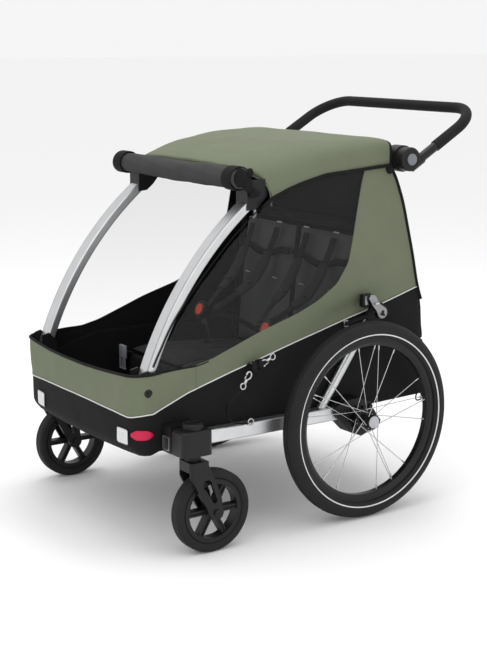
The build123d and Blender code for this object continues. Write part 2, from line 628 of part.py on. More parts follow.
def roof_cover():
    """Fabric roof: cambered skin with turned-down side flaps."""
    low = [(ROOF_REAR + 9, 872), (11, 866), (-78, 863), (-151, 846), (-236, 818), (-268, 806), (-310, 812)]
    under = prism([*low, (-340, 600), (200, 600)], -400, 400)
    between = prism([(-310, 700), (-310, 846), (ROOF_REAR + 20, 846), (ROOF_REAR + 20, 700)],
                    -ROOF_X + CLOTH, ROOF_X - CLOTH)
    return roof_block(0) - roof_block(CLOTH) - under - between


def front_reflectors():
    """Two reflector plates on the nose and a pull tab at its left corner."""
    made = []
    for side in (-1, 1):
        plate = block(side * 209 - 15, side * 209 + 15, -622.2, -618, 246, 274)
        made.append(fillet_along(plate, Axis.Y, 3))
    tab = fillet_along(block(250, 296, -617, -613, 274, 296), Axis.Y, 6)
    made.append(tab)
    return Compound(children=[s for m in made for s in m.solids()])


# ---------------------------------------------------------------- safety strap
STRAP_X, STRAP_W, STRAP_T = 331.0, 12.0, 2.0
STRAP_POINTS = [(-334, 284.6), (-366, 285.0), (-388, 304), (-394, 331), (-378, 352), (-352, 366)]


def safety_strap():
    """Webbing loop from the ring on the side rail up to the snap hook."""
    points = [(STRAP_X, y, z) for y, z in STRAP_POINTS]
    radii = strap_radii(STRAP_POINTS)
    wire = FilletPolyline(*points, radius=radii)
    plane = Plane(origin=tuple(wire @ 0), x_dir=(1, 0, 0), z_dir=tuple(wire % 0))
    made = sweep(plane * Circle(3.0), path=wire)
    print("strap length", round(wire.length, 1), "radii", [round(r, 1) for r in radii],
          "volume ratio", round(made.volume / (math.pi * 9 * wire.length), 4))
    return made


def strap_radii(points):
    """The largest arcs that a route's runs allow, one for each corner."""
    radii = []
    for a, b, c in zip(points, points[1:], points[2:]):
        first, second = Vector(b[0] - a[0], b[1] - a[1]), Vector(c[0] - b[0], c[1] - b[1])
        turn = math.radians(first.get_angle(second))
        radii.append(0.45 * min(first.length, second.length) / math.tan(turn / 2))
    return radii


def snap_hooks():
    """Ring on the rail with the strap's lower ferrule, the strap's snap hook, and a second hook beside it."""
    x, wire = STRAP_X, 1.6
    low, low_next, high_last, high = STRAP_POINTS[0], STRAP_POINTS[1], STRAP_POINTS[-2], STRAP_POINTS[-1]
    down = (Vector(0, *low) - Vector(0, *low_next)).normalized()
    up = (Vector(0, *high) - Vector(0, *high_last)).normalized()
    start, end = Vector(x, *low), Vector(x, *high)
    ring = rod(tuple(start), tuple(start + down * 9), 4.2)
    ring += Pos(x, -314, 284) * (Rot(0, 90, 0) * Torus(9, wire))
    ring += block(325, 331, -311, -303, 276, 290) - block(300, 325.2, -320, -300, 240, 300)
    hook = rod(tuple(end), tuple(end + up * 9), 4.2)
    hook += Pos(*(end + up * 15)) * (Rot(0, 90, 0) * Torus(7.5, wire))
    first = end + up * 21
    hook += rod(tuple(first), (x, -314, 404), 2.4)
    hook += Pos(x, -309, 411) * (Rot(0, 90, 0) * Torus(7.5, wire))
    second = Pos(x, -288, 404) * (Rot(0, 90, 0) * Torus(7, wire))
    second += rod((x, -281, 407), (x, -263, 416), 2.4)
    second += Pos(x, -255, 419) * (Rot(0, 90, 0) * Torus(7, wire))
    return Compound(children=[s for m in (ring, hook, second) for s in m.solids()])


# ---------------------------------------------------------------- write the parts
def write(name, part):
    moved = Pos(0, AXLE_Y, 0) * part
    export_step(moved, f"parts/{name}.step")
    return moved


def write_pair(name, part):
    """Left and right parts as two nodes."""
    write(f"{name}_left", part)
    write(f"{name}_right", mirrored(part))


def main():
    os.makedirs("parts", exist_ok=True)
    write_pair("side_rail", side_rail())
    write("front_cross_tube", front_cross_tube())
    write("axle_tube", axle_tube())
    write_pair("strut", strut())
    write("latch_housings", both(latch_housing()))
    write_pair("latch_lever", latch_lever())
    write_pair("axle_receiver", axle_receiver())
    write("arch_feet", both(arch_foot()))
    write("arch_pivot_pins", both(pivot_pin()))
    write("brake_bar", brake_bar())

    write_pair("arch", arch())
    write("front_bow", front_bow())
    write("roof_connectors", both(roof_connector()))
    write("rolled_cover", rolled_cover())
    write("roof_side_tubes", both(roof_side_tube()))
    write("roof_cover", roof_cover())
    write("hub_housings", both(hub_housing()))
    write("back_frame", back_frame())

    write("handlebar_tube", handlebar_tube())
    write("handlebar_grip", handlebar_grip())
    write("handlebar_knuckles", both(handlebar_knuckle()))
    write_pair("handlebar_button", handlebar_button())

    for name, part in (("tyre", tyre()), ("rim", rim()), ("spokes", spokes()), ("hub", hub()),
                       ("hub_button", hub_button())):
        write_pair(f"wheel_{name}", wheel_place(part))
    write("wheel_axles", both(wheel_place(wheel_axle())))

    for name, part in (("bracket", caster_bracket()), ("lock", swivel_lock()), ("fork", caster_fork()),
                       ("core", caster_core()), ("tyre", caster_tyre())):
        write_pair(f"caster_{name}", part)

    write("tub", tub())
    write("front_reflectors", front_reflectors())
    write("seat", seat())
    write("seat_back", seat_back())
    write("harness", harness())
    write("buckles", Compound(children=[*crotch_buckle(156).solids(), *crotch_buckle(-156).solids()]))
    write("buckle_button_left", buckle_button(156))
    write("buckle_button_right", buckle_button(-156))
    write("upper_cover", upper_cover())
    write("safety_strap", safety_strap())
    write("snap_hooks", snap_hooks())


main()
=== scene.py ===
import math

import bmesh
import bpy
import numpy as np
from mathutils import Matrix, Vector


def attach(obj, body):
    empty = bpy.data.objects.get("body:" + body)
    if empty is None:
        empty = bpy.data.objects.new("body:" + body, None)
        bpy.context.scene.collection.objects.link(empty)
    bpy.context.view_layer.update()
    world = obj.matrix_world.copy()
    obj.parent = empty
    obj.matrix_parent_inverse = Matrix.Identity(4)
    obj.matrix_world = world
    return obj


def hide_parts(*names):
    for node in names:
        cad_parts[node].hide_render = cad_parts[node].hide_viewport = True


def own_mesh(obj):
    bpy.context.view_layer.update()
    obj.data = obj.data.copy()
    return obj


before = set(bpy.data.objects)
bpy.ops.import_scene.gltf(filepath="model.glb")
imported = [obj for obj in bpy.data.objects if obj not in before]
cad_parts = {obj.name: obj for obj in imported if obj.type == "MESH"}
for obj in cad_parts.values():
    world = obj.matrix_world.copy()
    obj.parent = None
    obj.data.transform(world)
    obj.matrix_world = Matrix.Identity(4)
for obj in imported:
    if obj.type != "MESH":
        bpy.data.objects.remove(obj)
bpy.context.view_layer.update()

# The layout below is in millimetres from the rear axle line, as in the CAD source. AXLE_Y moves it to the frame.
AXLE_Y = 107.0
SEW_Z = 412.0
WHEEL_X, AXLE_Z = 366.0, 250.0


def place(p):
    """Layout millimetres to frame metres."""
    return (p[0] / 1000, (p[1] + AXLE_Y) / 1000, p[2] / 1000)


# ---------------------------------------------------------------- materials
def new_material(name):
    mat = bpy.data.materials.new(name)
    mat.use_nodes = True
    nodes = mat.node_tree.nodes
    return mat, nodes, mat.node_tree.links, nodes["Principled BSDF"]


def add(nodes, kind, **values):
    node = nodes.new(kind)
    for key, value in values.items():
        if key in node.inputs:
            node.inputs[key].default_value = value
        else:
            setattr(node, key, value)
    return node


def colour_variation(nodes, links, shader, colour, spread, scale, detail=4.0):
    """Base colour that drifts a little lighter and darker over the surface."""
    coords = nodes.new("ShaderNodeTexCoord")
    noise = add(nodes, "ShaderNodeTexNoise", Scale=scale, Detail=detail, Roughness=0.6)
    links.new(coords.outputs["Object"], noise.inputs["Vector"])
    ramp = nodes.new("ShaderNodeValToRGB")
    ramp.color_ramp.elements[0].position, ramp.color_ramp.elements[1].position = 0.3, 0.7
    ramp.color_ramp.elements[0].color = [c * (1 - spread) for c in colour] + [1]
    ramp.color_ramp.elements[1].color = [min(1, c * (1 + spread)) for c in colour] + [1]
    links.new(noise.outputs["Fac"], ramp.inputs["Fac"])
    links.new(ramp.outputs["Color"], shader.inputs["Base Color"])
    return coords, noise


def bump_from(nodes, links, shader, height, strength, distance, chain=None):
    bump = add(nodes, "ShaderNodeBump", Strength=strength, Distance=distance)
    links.new(height, bump.inputs["Height"])
    if chain is not None:
        links.new(chain.outputs["Normal"], bump.inputs["Normal"])
    links.new(bump.outputs["Normal"], shader.inputs["Normal"])
    return bump


def weave_height(nodes, links, coords, thread):
    """Plain weave: two crossed thread waves. thread is the thread spacing in metres."""
    turns = math.pi / thread
    split = nodes.new("ShaderNodeSeparateXYZ")
    links.new(coords.outputs["Object"], split.inputs[0])
    waves = []
    for sources in (("X", "Y"), ("Z", None)):
        value = split.outputs[sources[0]]
        if sources[1]:
            joined = nodes.new("ShaderNodeMath")
            joined.operation = "ADD"
            links.new(value, joined.inputs[0])
            links.new(split.outputs[sources[1]], joined.inputs[1])
            value = joined.outputs[0]
        scaled = nodes.new("ShaderNodeMath")
        scaled.operation = "MULTIPLY"
        scaled.inputs[1].default_value = turns
        links.new(value, scaled.inputs[0])
        wave = nodes.new("ShaderNodeMath")
        wave.operation = "SINE"
        links.new(scaled.outputs[0], wave.inputs[0])
        waves.append(wave.outputs[0])
    both = nodes.new("ShaderNodeMath")
    both.operation = "MULTIPLY"
    links.new(waves[0], both.inputs[0])
    links.new(waves[1], both.inputs[1])
    return both.outputs[0]


def cloth(name, colour, thread=0.0011, spread=0.08, roughness=0.85, sheen=0.0, weave=0.35, crumple=0.35):
    mat, nodes, links, shader = new_material(name)
    coords, _ = colour_variation(nodes, links, shader, colour, spread, 14)
    shader.inputs["Roughness"].default_value = roughness
    shader.inputs["Sheen Weight"].default_value = sheen
    shader.inputs["Sheen Roughness"].default_value = 0.5
    shader.inputs["Specular IOR Level"].default_value = 0.22
    folds = add(nodes, "ShaderNodeTexNoise", Scale=9.0, Detail=3.0, Roughness=0.5)
    links.new(coords.outputs["Object"], folds.inputs["Vector"])
    soft = bump_from(nodes, links, shader, folds.outputs["Fac"], crumple, 0.012)
    bump_from(nodes, links, shader, weave_height(nodes, links, coords, thread), weave, 0.0004, soft)
    return mat


def window_film(name, colour, alpha):
    mat, nodes, links, shader = new_material(name)
    coords, _ = colour_variation(nodes, links, shader, colour, 0.15, 20)
    shader.inputs["Roughness"].default_value = 0.55
    shader.inputs["Alpha"].default_value = alpha
    shader.inputs["Specular IOR Level"].default_value = 0.3
    slack = add(nodes, "ShaderNodeTexNoise", Scale=14.0, Detail=1.0)
    links.new(coords.outputs["Object"], slack.inputs["Vector"])
    bump_from(nodes, links, shader, slack.outputs["Fac"], 0.1, 0.003)
    mat.surface_render_method = "BLENDED"
    return mat


def moulding(name, colour, roughness=0.45, grain=0.12, scale=900.0, spread=0.1):
    """Moulded plastic with a fine spark-eroded grain."""
    mat, nodes, links, shader = new_material(name)
    coords, _ = colour_variation(nodes, links, shader, colour, spread, 30)
    shader.inputs["Roughness"].default_value = roughness
    shader.inputs["Specular IOR Level"].default_value = 0.3
    texture = add(nodes, "ShaderNodeTexNoise", Scale=scale, Detail=2.0)
    links.new(coords.outputs["Object"], texture.inputs["Vector"])
    bump_from(nodes, links, shader, texture.outputs["Fac"], grain, 0.0004)
    return mat


def metal(name, colour, roughness=0.3, stretch=(1, 1, 40), scale=120.0, scratch=0.06):
    """Metal with drawn marks that run along the piece and a roughness that drifts."""
    mat, nodes, links, shader = new_material(name)
    coords, noise = colour_variation(nodes, links, shader, colour, 0.05, 25)
    shader.inputs["Metallic"].default_value = 1.0
    mapping = nodes.new("ShaderNodeMapping")
    mapping.inputs["Scale"].default_value = stretch
    links.new(coords.outputs["Object"], mapping.inputs["Vector"])
    marks = add(nodes, "ShaderNodeTexNoise", Scale=scale, Detail=3.0)
    links.new(mapping.outputs["Vector"], marks.inputs["Vector"])
    drift = add(nodes, "ShaderNodeMapRange")
    drift.inputs["To Min"].default_value = roughness * 0.75
    drift.inputs["To Max"].default_value = roughness * 1.35
    links.new(marks.outputs["Fac"], drift.inputs["Value"])
    links.new(drift.outputs["Result"], shader.inputs["Roughness"])
    bump_from(nodes, links, shader, marks.outputs["Fac"], scratch, 0.0003)
    return mat


def rubber(name, colour, roughness=0.75, grain=0.25, scale=500.0):
    mat, nodes, links, shader = new_material(name)
    coords, _ = colour_variation(nodes, links, shader, colour, 0.18, 18)
    shader.inputs["Roughness"].default_value = roughness
    shader.inputs["Specular IOR Level"].default_value = 0.3
    texture = add(nodes, "ShaderNodeTexVoronoi", Scale=scale)
    links.new(coords.outputs["Object"], texture.inputs["Vector"])
    bump_from(nodes, links, shader, texture.outputs["Distance"], grain, 0.0005)
    return mat


def webbing(name, colour):
    """Ribbed strap: fine ridges across the weave."""
    mat, nodes, links, shader = new_material(name)
    coords, _ = colour_variation(nodes, links, shader, colour, 0.15, 60)
    shader.inputs["Roughness"].default_value = 0.8
    shader.inputs["Specular IOR Level"].default_value = 0.25
    bump_from(nodes, links, shader, weave_height(nodes, links, coords, 0.0018), 0.6, 0.0008)
    return mat


GREEN = (0.150, 0.170, 0.112)
M = {
    "green": cloth("sage_green_coated_cloth", GREEN, spread=0.04, roughness=0.72),
    "black": cloth("black_polyester", (0.0075, 0.0075, 0.0078)),
    "lining": cloth("black_lining", (0.006, 0.006, 0.006), crumple=0.2),
    "roll": cloth("dark_grey_polyester", (0.046, 0.046, 0.047), crumple=0.6),
    "seat": cloth("seat_cloth", (0.028, 0.028, 0.029), weave=0.2),
    "seat_light": cloth("seat_insert_cloth", (0.115, 0.116, 0.115), weave=0.2),
    # The two windows are one and the same mesh: the left one is made denser to paint shade on it, the right one thinner
    # to paint light coming through it.
    "mesh": window_film("black_mesh_denser_for_painted_shade", (0.024, 0.024, 0.025), 0.40),
    "mesh_thinned_for_painted_light": window_film("black_mesh_thinner_for_painted_light", (0.016, 0.016, 0.017), 0.12),
    "piping_white": cloth("reflective_white_piping", (0.70, 0.71, 0.70), spread=0.05, roughness=0.5, crumple=0.0),
    "piping_black": cloth("black_piping", (0.007, 0.007, 0.007), crumple=0.0),
    "web": webbing("black_webbing", (0.008, 0.008, 0.008)),
    "web_grey": webbing("grey_webbing", (0.085, 0.085, 0.09)),
    "plastic": moulding("black_moulding", (0.006, 0.006, 0.0065), roughness=0.42),
    "plastic_grey": moulding("grey_moulding", (0.17, 0.18, 0.20), roughness=0.4),
    "silver_cap": moulding("silver_moulding", (0.42, 0.43, 0.45), roughness=0.4),
    # light grey moulding, painted lighter than its own colour to lift it out of the shade where it sits: partly real
    # colour, partly painted light
    "buckle_grey": moulding("grey_moulding_painted_lighter", (0.24, 0.25, 0.27), roughness=0.5),
    "red": moulding("red_button", (0.75, 0.07, 0.03), roughness=0.35),
    "tab_red": moulding("red_tab", (0.55, 0.012, 0.060), roughness=0.4),
    "alu": metal("anodised_aluminium", (0.62, 0.63, 0.64), roughness=0.34),
    "steel": metal("plated_steel", (0.55, 0.55, 0.55), roughness=0.22, stretch=(1, 1, 1)),
    "dark_steel": metal("dull_steel", (0.30, 0.30, 0.31), roughness=0.35, stretch=(1, 1, 1)),
    "black_metal": moulding("black_powder_coat", (0.006, 0.006, 0.006), roughness=0.38, scale=1400.0),
    "tyre": rubber("tyre_rubber", (0.011, 0.011, 0.011)),
    "foam": rubber("foam_grip", (0.008, 0.008, 0.008), roughness=0.85, grain=0.4, scale=900.0),
    "stripe": moulding("reflective_stripe", (0.66, 0.67, 0.67), roughness=0.35),
    "reflector": moulding("silver_reflector", (0.66, 0.67, 0.68), roughness=0.25, grain=0.5, scale=400.0),
}


# ---------------------------------------------------------------- mesh helpers
def piece(name, verts, faces, body, mats, smooth=True, replaces=()):
    """Mesh object from layout points in mm, which rides on a CAD body."""
    mesh = bpy.data.meshes.new(name)
    mesh.from_pydata([place(v) for v in verts], [], faces)
    mesh.validate()
    obj = bpy.data.objects.new(name, mesh)
    bpy.context.scene.collection.objects.link(obj)
    names = [mats] if isinstance(mats, str) else list(mats)
    for key in names:
        mesh.materials.append(M[key])
    for polygon in mesh.polygons:
        polygon.use_smooth = smooth
    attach(obj, body)
    if replaces:
        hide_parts(*replaces)
    return obj


def grid_faces(rows, columns, close_rows=False, close_columns=False):
    faces = []
    for i in range(rows if close_rows else rows - 1):
        for j in range(columns if close_columns else columns - 1):
            a, b = i * columns + j, i * columns + (j + 1) % columns
            c, d = ((i + 1) % rows) * columns + (j + 1) % columns, ((i + 1) % rows) * columns + j
            faces.append((a, b, c, d))
    return faces


def modifier(obj, kind, **values):
    made = obj.modifiers.new(kind.lower(), kind)
    for key, value in values.items():
        setattr(made, key, value)
    return made


def apply_modifiers(obj):
    """Bakes the modifiers into the mesh."""
    bpy.context.view_layer.update()
    graph = bpy.context.evaluated_depsgraph_get()
    mesh = bpy.data.meshes.new_from_object(obj.evaluated_get(graph), depsgraph=graph)
    obj.modifiers.clear()
    obj.data = mesh
    return obj


def thick(obj, millimetres, inner=0, levels=0, offset=-1.0):
    """Gives a skin its thickness, with another material inside, and smooths it."""
    if levels:
        modifier(obj, "SUBSURF", levels=levels, render_levels=levels)
    made = modifier(obj, "SOLIDIFY", thickness=millimetres / 1000, offset=offset, use_even_offset=False)
    made.material_offset, made.material_offset_rim = inner, 0
    return apply_modifiers(obj)


def crumples(obj):
    """Gives the piece its own copy of its mesh data."""
    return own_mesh(obj)


def catmull(points, count, closed=False):
    """Evenly spaced points on a smooth curve through the given ones."""
    p = np.array(points, float)
    n = len(p)
    if closed:
        p = np.vstack([p[-1], p, p[0], p[1]])
    else:
        p = np.vstack([2 * p[0] - p[1], p, 2 * p[-1] - p[-2]])
    made = []
    for i in range(1, n + (1 if closed else 0)):
        a, b, c, d = p[i - 1], p[i], p[i + 1], p[i + 2]
        for t in np.linspace(0, 1, 24, endpoint=False):
            made.append(0.5 * (2 * b + (c - a) * t + (2 * a - 5 * b + 4 * c - d) * t**2
                               + (3 * b - a - 3 * c + d) * t**3))
    made.append(p[-2] if not closed else made[0])
    made = np.array(made)
    along = np.concatenate([[0], np.cumsum(np.linalg.norm(np.diff(made, axis=0), axis=1))])
    want = np.linspace(0, along[-1], count, endpoint=not closed)
    return np.stack([np.interp(want, along, made[:, k]) for k in range(made.shape[1])], axis=1)


def section_frames(points, closed=False):
    """Tangent, side and up directions along a path, without twist."""
    p = np.array(points, float)
    if closed:
        tangents = np.roll(p, -1, 0) - np.roll(p, 1, 0)
    else:
        tangents = np.gradient(p, axis=0)
    tangents /= np.linalg.norm(tangents, axis=1)[:, None]
    up = np.array([0, 0, 1.0]) if abs(tangents[0][2]) < 0.9 else np.array([1.0, 0, 0])
    sides, ups = [], []
    for t in tangents:
        side = np.cross(t, up)
        side /= np.linalg.norm(side)
        up = np.cross(side, t)
        sides.append(side)
        ups.append(up)
    return tangents, np.array(sides), np.array(ups)


def sweep(name, points, outline, body, mat, closed=False, directions=None, scale=None, **more):
    """Sweeps a closed (side, up) outline in mm along a path."""
    p = np.array(points, float)
    _, sides, ups = section_frames(p, closed) if directions is None else directions
    outline = np.array(outline, float)
    verts = []
    for i, c in enumerate(p):
        k = 1.0 if scale is None else scale[i]
        for u, v in outline:
            verts.append(c + sides[i] * u * k + ups[i] * v * k)
    rows, columns = len(p), len(outline)
    faces = grid_faces(rows, columns, closed, True)
    if not closed:
        faces.append(tuple(reversed(range(columns))))
        faces.append(tuple(range((rows - 1) * columns, rows * columns)))
    return piece(name, verts, faces, body, mat, **more)


def ring_outline(radius, count=10, flat=1.0):
    return [(radius * math.cos(a), radius * flat * math.sin(a))
            for a in np.linspace(0, 2 * math.pi, count, endpoint=False)]


def strap_outline(width, thickness):
    w, t = width / 2, thickness / 2
    return [(-w, -t * 0.6), (-w, t * 0.6), (-w * 0.9, t), (w * 0.9, t), (w, t * 0.6), (w, -t * 0.6),
            (w * 0.9, -t), (-w * 0.9, -t)]


def facing(points, normals):
    """Frames for a strap whose flat side faces the given normals."""
    p = np.array(points, float)
    tangents = np.gradient(p, axis=0)
    tangents /= np.linalg.norm(tangents, axis=1)[:, None]
    normals = np.broadcast_to(np.array(normals, float), p.shape)
    sides = np.cross(tangents, normals)
    sides /= np.linalg.norm(sides, axis=1)[:, None]
    ups = np.cross(sides, tangents)
    return tangents, sides, ups


def cube(name, x0, x1, y0, y1, z0, z1, body, mat, bevel=1.0, segments=3, **more):
    """Rounded block between two corners, in layout millimetres."""
    verts = [(x, y, z) for x in (x0, x1) for y in (y0, y1) for z in (z0, z1)]
    faces = [(0, 1, 3, 2), (4, 6, 7, 5), (0, 4, 5, 1), (2, 3, 7, 6), (0, 2, 6, 4), (1, 5, 7, 3)]
    obj = piece(name, verts, faces, body, mat, **more)
    modifier(obj, "BEVEL", width=bevel / 1000, segments=segments)
    return obj


def join(objects):
    """Joins pieces of one body and material set into the first."""
    first = objects[0]
    graph = bpy.context.evaluated_depsgraph_get()
    made = bmesh.new()
    materials = []
    for obj in objects:
        apply_modifiers(obj)
        start = len(made.faces)
        made.from_mesh(obj.data)
        made.faces.ensure_lookup_table()
        for face in made.faces[start:]:
            mat = obj.data.materials[face.material_index]
            if mat not in materials:
                materials.append(mat)
            face.material_index = materials.index(mat)
    mesh = bpy.data.meshes.new(first.name)
    made.to_mesh(mesh)
    made.free()
    for mat in materials:
        mesh.materials.append(mat)
    first.data = mesh
    for obj in objects[1:]:
        bpy.data.objects.remove(obj)
    return first


def noise2(a, b, seed=0.0):
    """Smooth repeatable unevenness from -1 to 1."""
    return (math.sin(a * 0.031 + b * 0.017 + seed) + math.sin(a * 0.013 - b * 0.041 + seed * 2.3)
            + 0.6 * math.sin(a * 0.071 + b * 0.053 + seed * 3.1)) / 2.6


def steps(*runs):
    """Positions along runs of (start, end, spacing), put end to end."""
    made = []
    for start, end, spacing in runs:
        made += list(np.linspace(start, end, max(1, round(abs(end - start) / spacing)), endpoint=False))
    return made + [runs[-1][1]]


# ---------------------------------------------------------------- outlines of the fabric body (y, z)
PIPING = [(-620, 323), (-590, 326), (-569, 333), (-540, 345), (-474, 370), (-307, 414), (-158, 454), (5, 496), (101, 519),
          (174, 539), (214, 551), (262, 562)]
WINDOW_LOW = [(-620, 424), (-590, 423), (-563, 425), (-515, 429), (-448, 431), (-413, 438), (-340, 463), (-266, 491),
              (-159, 522), (-110, 540), (-68, 562), (-36, 585), (-15, 607), (-1, 636), (9, 682), (26, 770), (40, 839),
              (47, 868)]
ARCH_EDGE = [(-556, 436), (-548, 452), (-536, 474), (-500, 537), (-436, 618), (-352, 706), (-300, 752), (-262, 783)]
ROOF_EDGE = [(-262, 792), (-236, 810), (-190, 828), (-151, 840), (-78, 857), (11, 863), (83, 868), (120, 870)]
BOTTOM = [(-620, 232), (-596, 230), (-578, 228), (-550, 238), (-490, 256), (-440, 261), (70, 261), (262, 267)]
REAR = [(262, 268), (256, 340), (249, 412), (236, 520), (222, 562), (200, 652), (172, 764), (150, 826), (138, 850), (124, 872)]
HALF, CORNER, BOW, NOSE_START = 285.0, 40.0, 17.0, -569.0
SPLIT = -448.0                            # in front of this the green band stays put when the frame folds


def line(points):
    ys, zs = [p[0] for p in points], [p[1] for p in points]
    return lambda y: float(np.interp(y, ys, zs))


piping_z, bottom_z, window_z = line(PIPING), line(BOTTOM), line(WINDOW_LOW)
top_z = line(ARCH_EDGE + ROOF_EDGE[1:])
rear_y = line([(z, y) for y, z in REAR])


def side_x(side, y, z):
    """Where the side skin stands: nearly flat, with a little belly in front and soft unevenness."""
    front = max(0.0, min(1.0, (-330 - y) / 180))
    belly = 7.0 * front * math.exp(-((z - 345) / 60) ** 2) + 2.0 * math.exp(-((z - 640) / 140) ** 2)
    tuck = -4.0 * max(0.0, min(1.0, (292 - z) / 30)) * front
    ripple = 1.0 * noise2(y, z, 1.7 + side) * max(0.0, min(1.0, (z - 300) / 60))
    return side * (HALF + belly + tuck + ripple)


def nose_columns():
    """Plan of the nose from the left corner to the right: x, y, outward direction, share of the way round the corner."""
    right = []
    for a in np.linspace(0, 90, 11)[1:]:
        r, t = math.radians(a), a / 90
        right.append((HALF - CORNER + CORNER * math.cos(r), NOSE_START - CORNER * math.sin(r), math.cos(r),
                      -math.sin(r), t * t * (3 - 2 * t)))
    flat = [(x, NOSE_START - CORNER, 0.0, -1.0, 1.0) for x in np.linspace(-(HALF - CORNER), HALF - CORNER, 35)[1:-1]]
    left = [(-x, y, -nx, ny, t) for x, y, nx, ny, t in right]
    return [(x, y - BOW * (1 - (x / HALF) ** 2), nx, ny, t) for x, y, nx, ny, t in left + flat + right[::-1]]


def nose_point(column, z, inset=0.0):
    """The nose leans out towards its rim, tucks in below the reflectors and creases softly at each corner."""
    x, y, nx, ny, t = column
    side = math.copysign(1, x)
    rim = 6.0 * max(0.0, min(1.0, (z - 335) / 90))
    tuck = -24.0 * max(0.0, (262 - z) / 34) ** 1.6 if z < 262 else 0.0
    crease = 3.4 * math.exp(-((t - 0.80) / 0.09) ** 2) * max(0.0, min(1.0, (z - 318) / 30, (425 - z) / 30))
    front = rim + tuck + crease + 1.0 * noise2(x, z, 4.1)
    out = (1 - t) * (abs(side_x(side, NOSE_START, z)) - HALF) + t * front - inset
    return (x + nx * out, y + ny * out, z)


def nose_level(side, corner, middle):
    """Height round the nose: from the side's own height to the corner's, and on to the middle's."""
    return lambda x, t: (1 - t) * side + t * (corner + (middle - corner) * (1 - min(1, abs(x) / 245) ** 2))


BOTTOM_EDGE = (bottom_z, nose_level(bottom_z(NOSE_START), 229, 231))
PIPING_EDGE = (piping_z, nose_level(piping_z(NOSE_START), 323, 332))
RIM_EDGE = (window_z, nose_level(window_z(NOSE_START), 423, 416))


def wrap(low, high, rows, rear_low, rear_high, inset=0.0, spacing=12.0):
    """Columns of a skin from the left rear round the nose to the right rear, bottom to top."""
    s_values = np.linspace(0, 1, max(2, round((max(rear_low, rear_high) - NOSE_START) / spacing) + 1))

    def side_column(side, s):
        ya, yb = NOSE_START + s * (rear_low - NOSE_START), NOSE_START + s * (rear_high - NOSE_START)
        za, zb = low[0](ya), high[0](yb)
        made = []
        for v in np.linspace(0, 1, rows):
            y, z = ya + (yb - ya) * v, za + (zb - za) * v
            made.append((side_x(side, y, z) - side * inset, y, z))
        return made

    columns = [side_column(-1, s) for s in s_values[::-1]]
    for column in nose_columns():
        za, zb = low[1](column[0], column[4]), high[1](column[0], column[4])
        columns.append([nose_point(column, za + (zb - za) * v, inset) for v in np.linspace(0, 1, rows)])
    columns += [side_column(1, s) for s in s_values]
    return columns


def skin(name, columns, body, mats, outward=True, **more):
    """Sheet through the columns. The face side is outward when they run from left to right and upwards."""
    rows = len(columns[0])
    faces = grid_faces(len(columns), rows)
    if outward:
        faces = [tuple(reversed(f)) for f in faces]
    return piece(name, [p for c in columns for p in c], faces, body, mats, **more)


def tube(name, points, radius, body, mat, count=None, sides=10, **more):
    path = catmull(points, count) if count else points
    return sweep(name, path, ring_outline(radius, sides), body, mat, **more)


def strap(name, points, normal, width, thickness, body, mat, count=40, **more):
    path = catmull(points, count)
    normals = normal if len(np.shape(normal)) == 1 else catmull(normal, count)
    return sweep(name, path, strap_outline(width, thickness), body, mat, directions=facing(path, normals), **more)


# lower black body
def sewn(y):
    return min(piping_z(y), SEW_Z)


shell = thick(skin("lower_body_shell", wrap(BOTTOM_EDGE, (sewn, PIPING_EDGE[1]), 17, 262, 249), "chassis",
                   ["black", "lining"], replaces=("tub",)), 2.4, inner=1, levels=1)
liner = thick(skin("lower_body_liner", wrap(BOTTOM_EDGE, (lambda y: min(piping_z(y) + 24, SEW_Z + 1),
                   nose_level(350, 352, 352)), 9, 250, 246, inset=3.4), "chassis", ["lining"]), 1.4, levels=1)

floor_columns = []
for x in np.linspace(-279, 279, 27):
    column = []
    for y in steps((-585, -440, 12), (-440, 252, 30)):
        across = abs(x) / 279
        front = max(0.0, min(1.0, (-440 - y) / 145))
        reach = 1 - max(0.0, (across - 0.86) / 0.14) ** 2 * 0.35 * front
        sag = -3.0 * math.cos(x / 279 * math.pi / 2) + 0.8 * noise2(x * 2, y * 2, 0.6)
        column.append((x * (1 - 0.035 * front), -440 + (y + 440) * (reach if y < -440 else 1),
                       bottom_z(y) + 5 + sag))
    floor_columns.append(column)
thick(skin("floor_cloth", floor_columns, "chassis", ["lining"], outward=False), 1.6, levels=1)

# green band in front, with its rim and the white piping under it
band = thick(skin("front_green_band", wrap(PIPING_EDGE, RIM_EDGE, 11, SPLIT, SPLIT, spacing=11), "chassis",
                  ["green", "lining"]), 2.6, inner=1, levels=1)


def edge_run(edge, rear, out=0.6, spacing=12.0):
    """Points on the skin along an edge, from the left rear round the nose to the right rear."""
    return [c[0] for c in wrap(edge, edge, 2, rear, rear, inset=-out, spacing=spacing)]


tube("front_rim_piping", catmull(edge_run(RIM_EDGE, -545, out=-0.6), 140), 3.3, "chassis", "piping_black")
tube("front_white_piping", catmull(edge_run(PIPING_EDGE, SPLIT), 170), 1.5, "chassis", "piping_white", sides=8)


# ---------------------------------------------------------------- upper side panels and windows
GREEN_LOW = [(SPLIT, 0), (-400, 0), (-266, 0), (-159, 0), (-100, 0), (-40, 0), (10, 0), (50, 0), (100, 0), (140, 0),
             (165, 0), (195, 0), (222, 0)]
GREEN_HIGH = [(SPLIT, 431), (-400, 442.5), (-266, 491), (-159, 522), (-95, 548), (-36, 585), (-1, 636), (9, 682),
              (26, 770), (40, 839), (47, 868), (86, 869), (124, 871)]


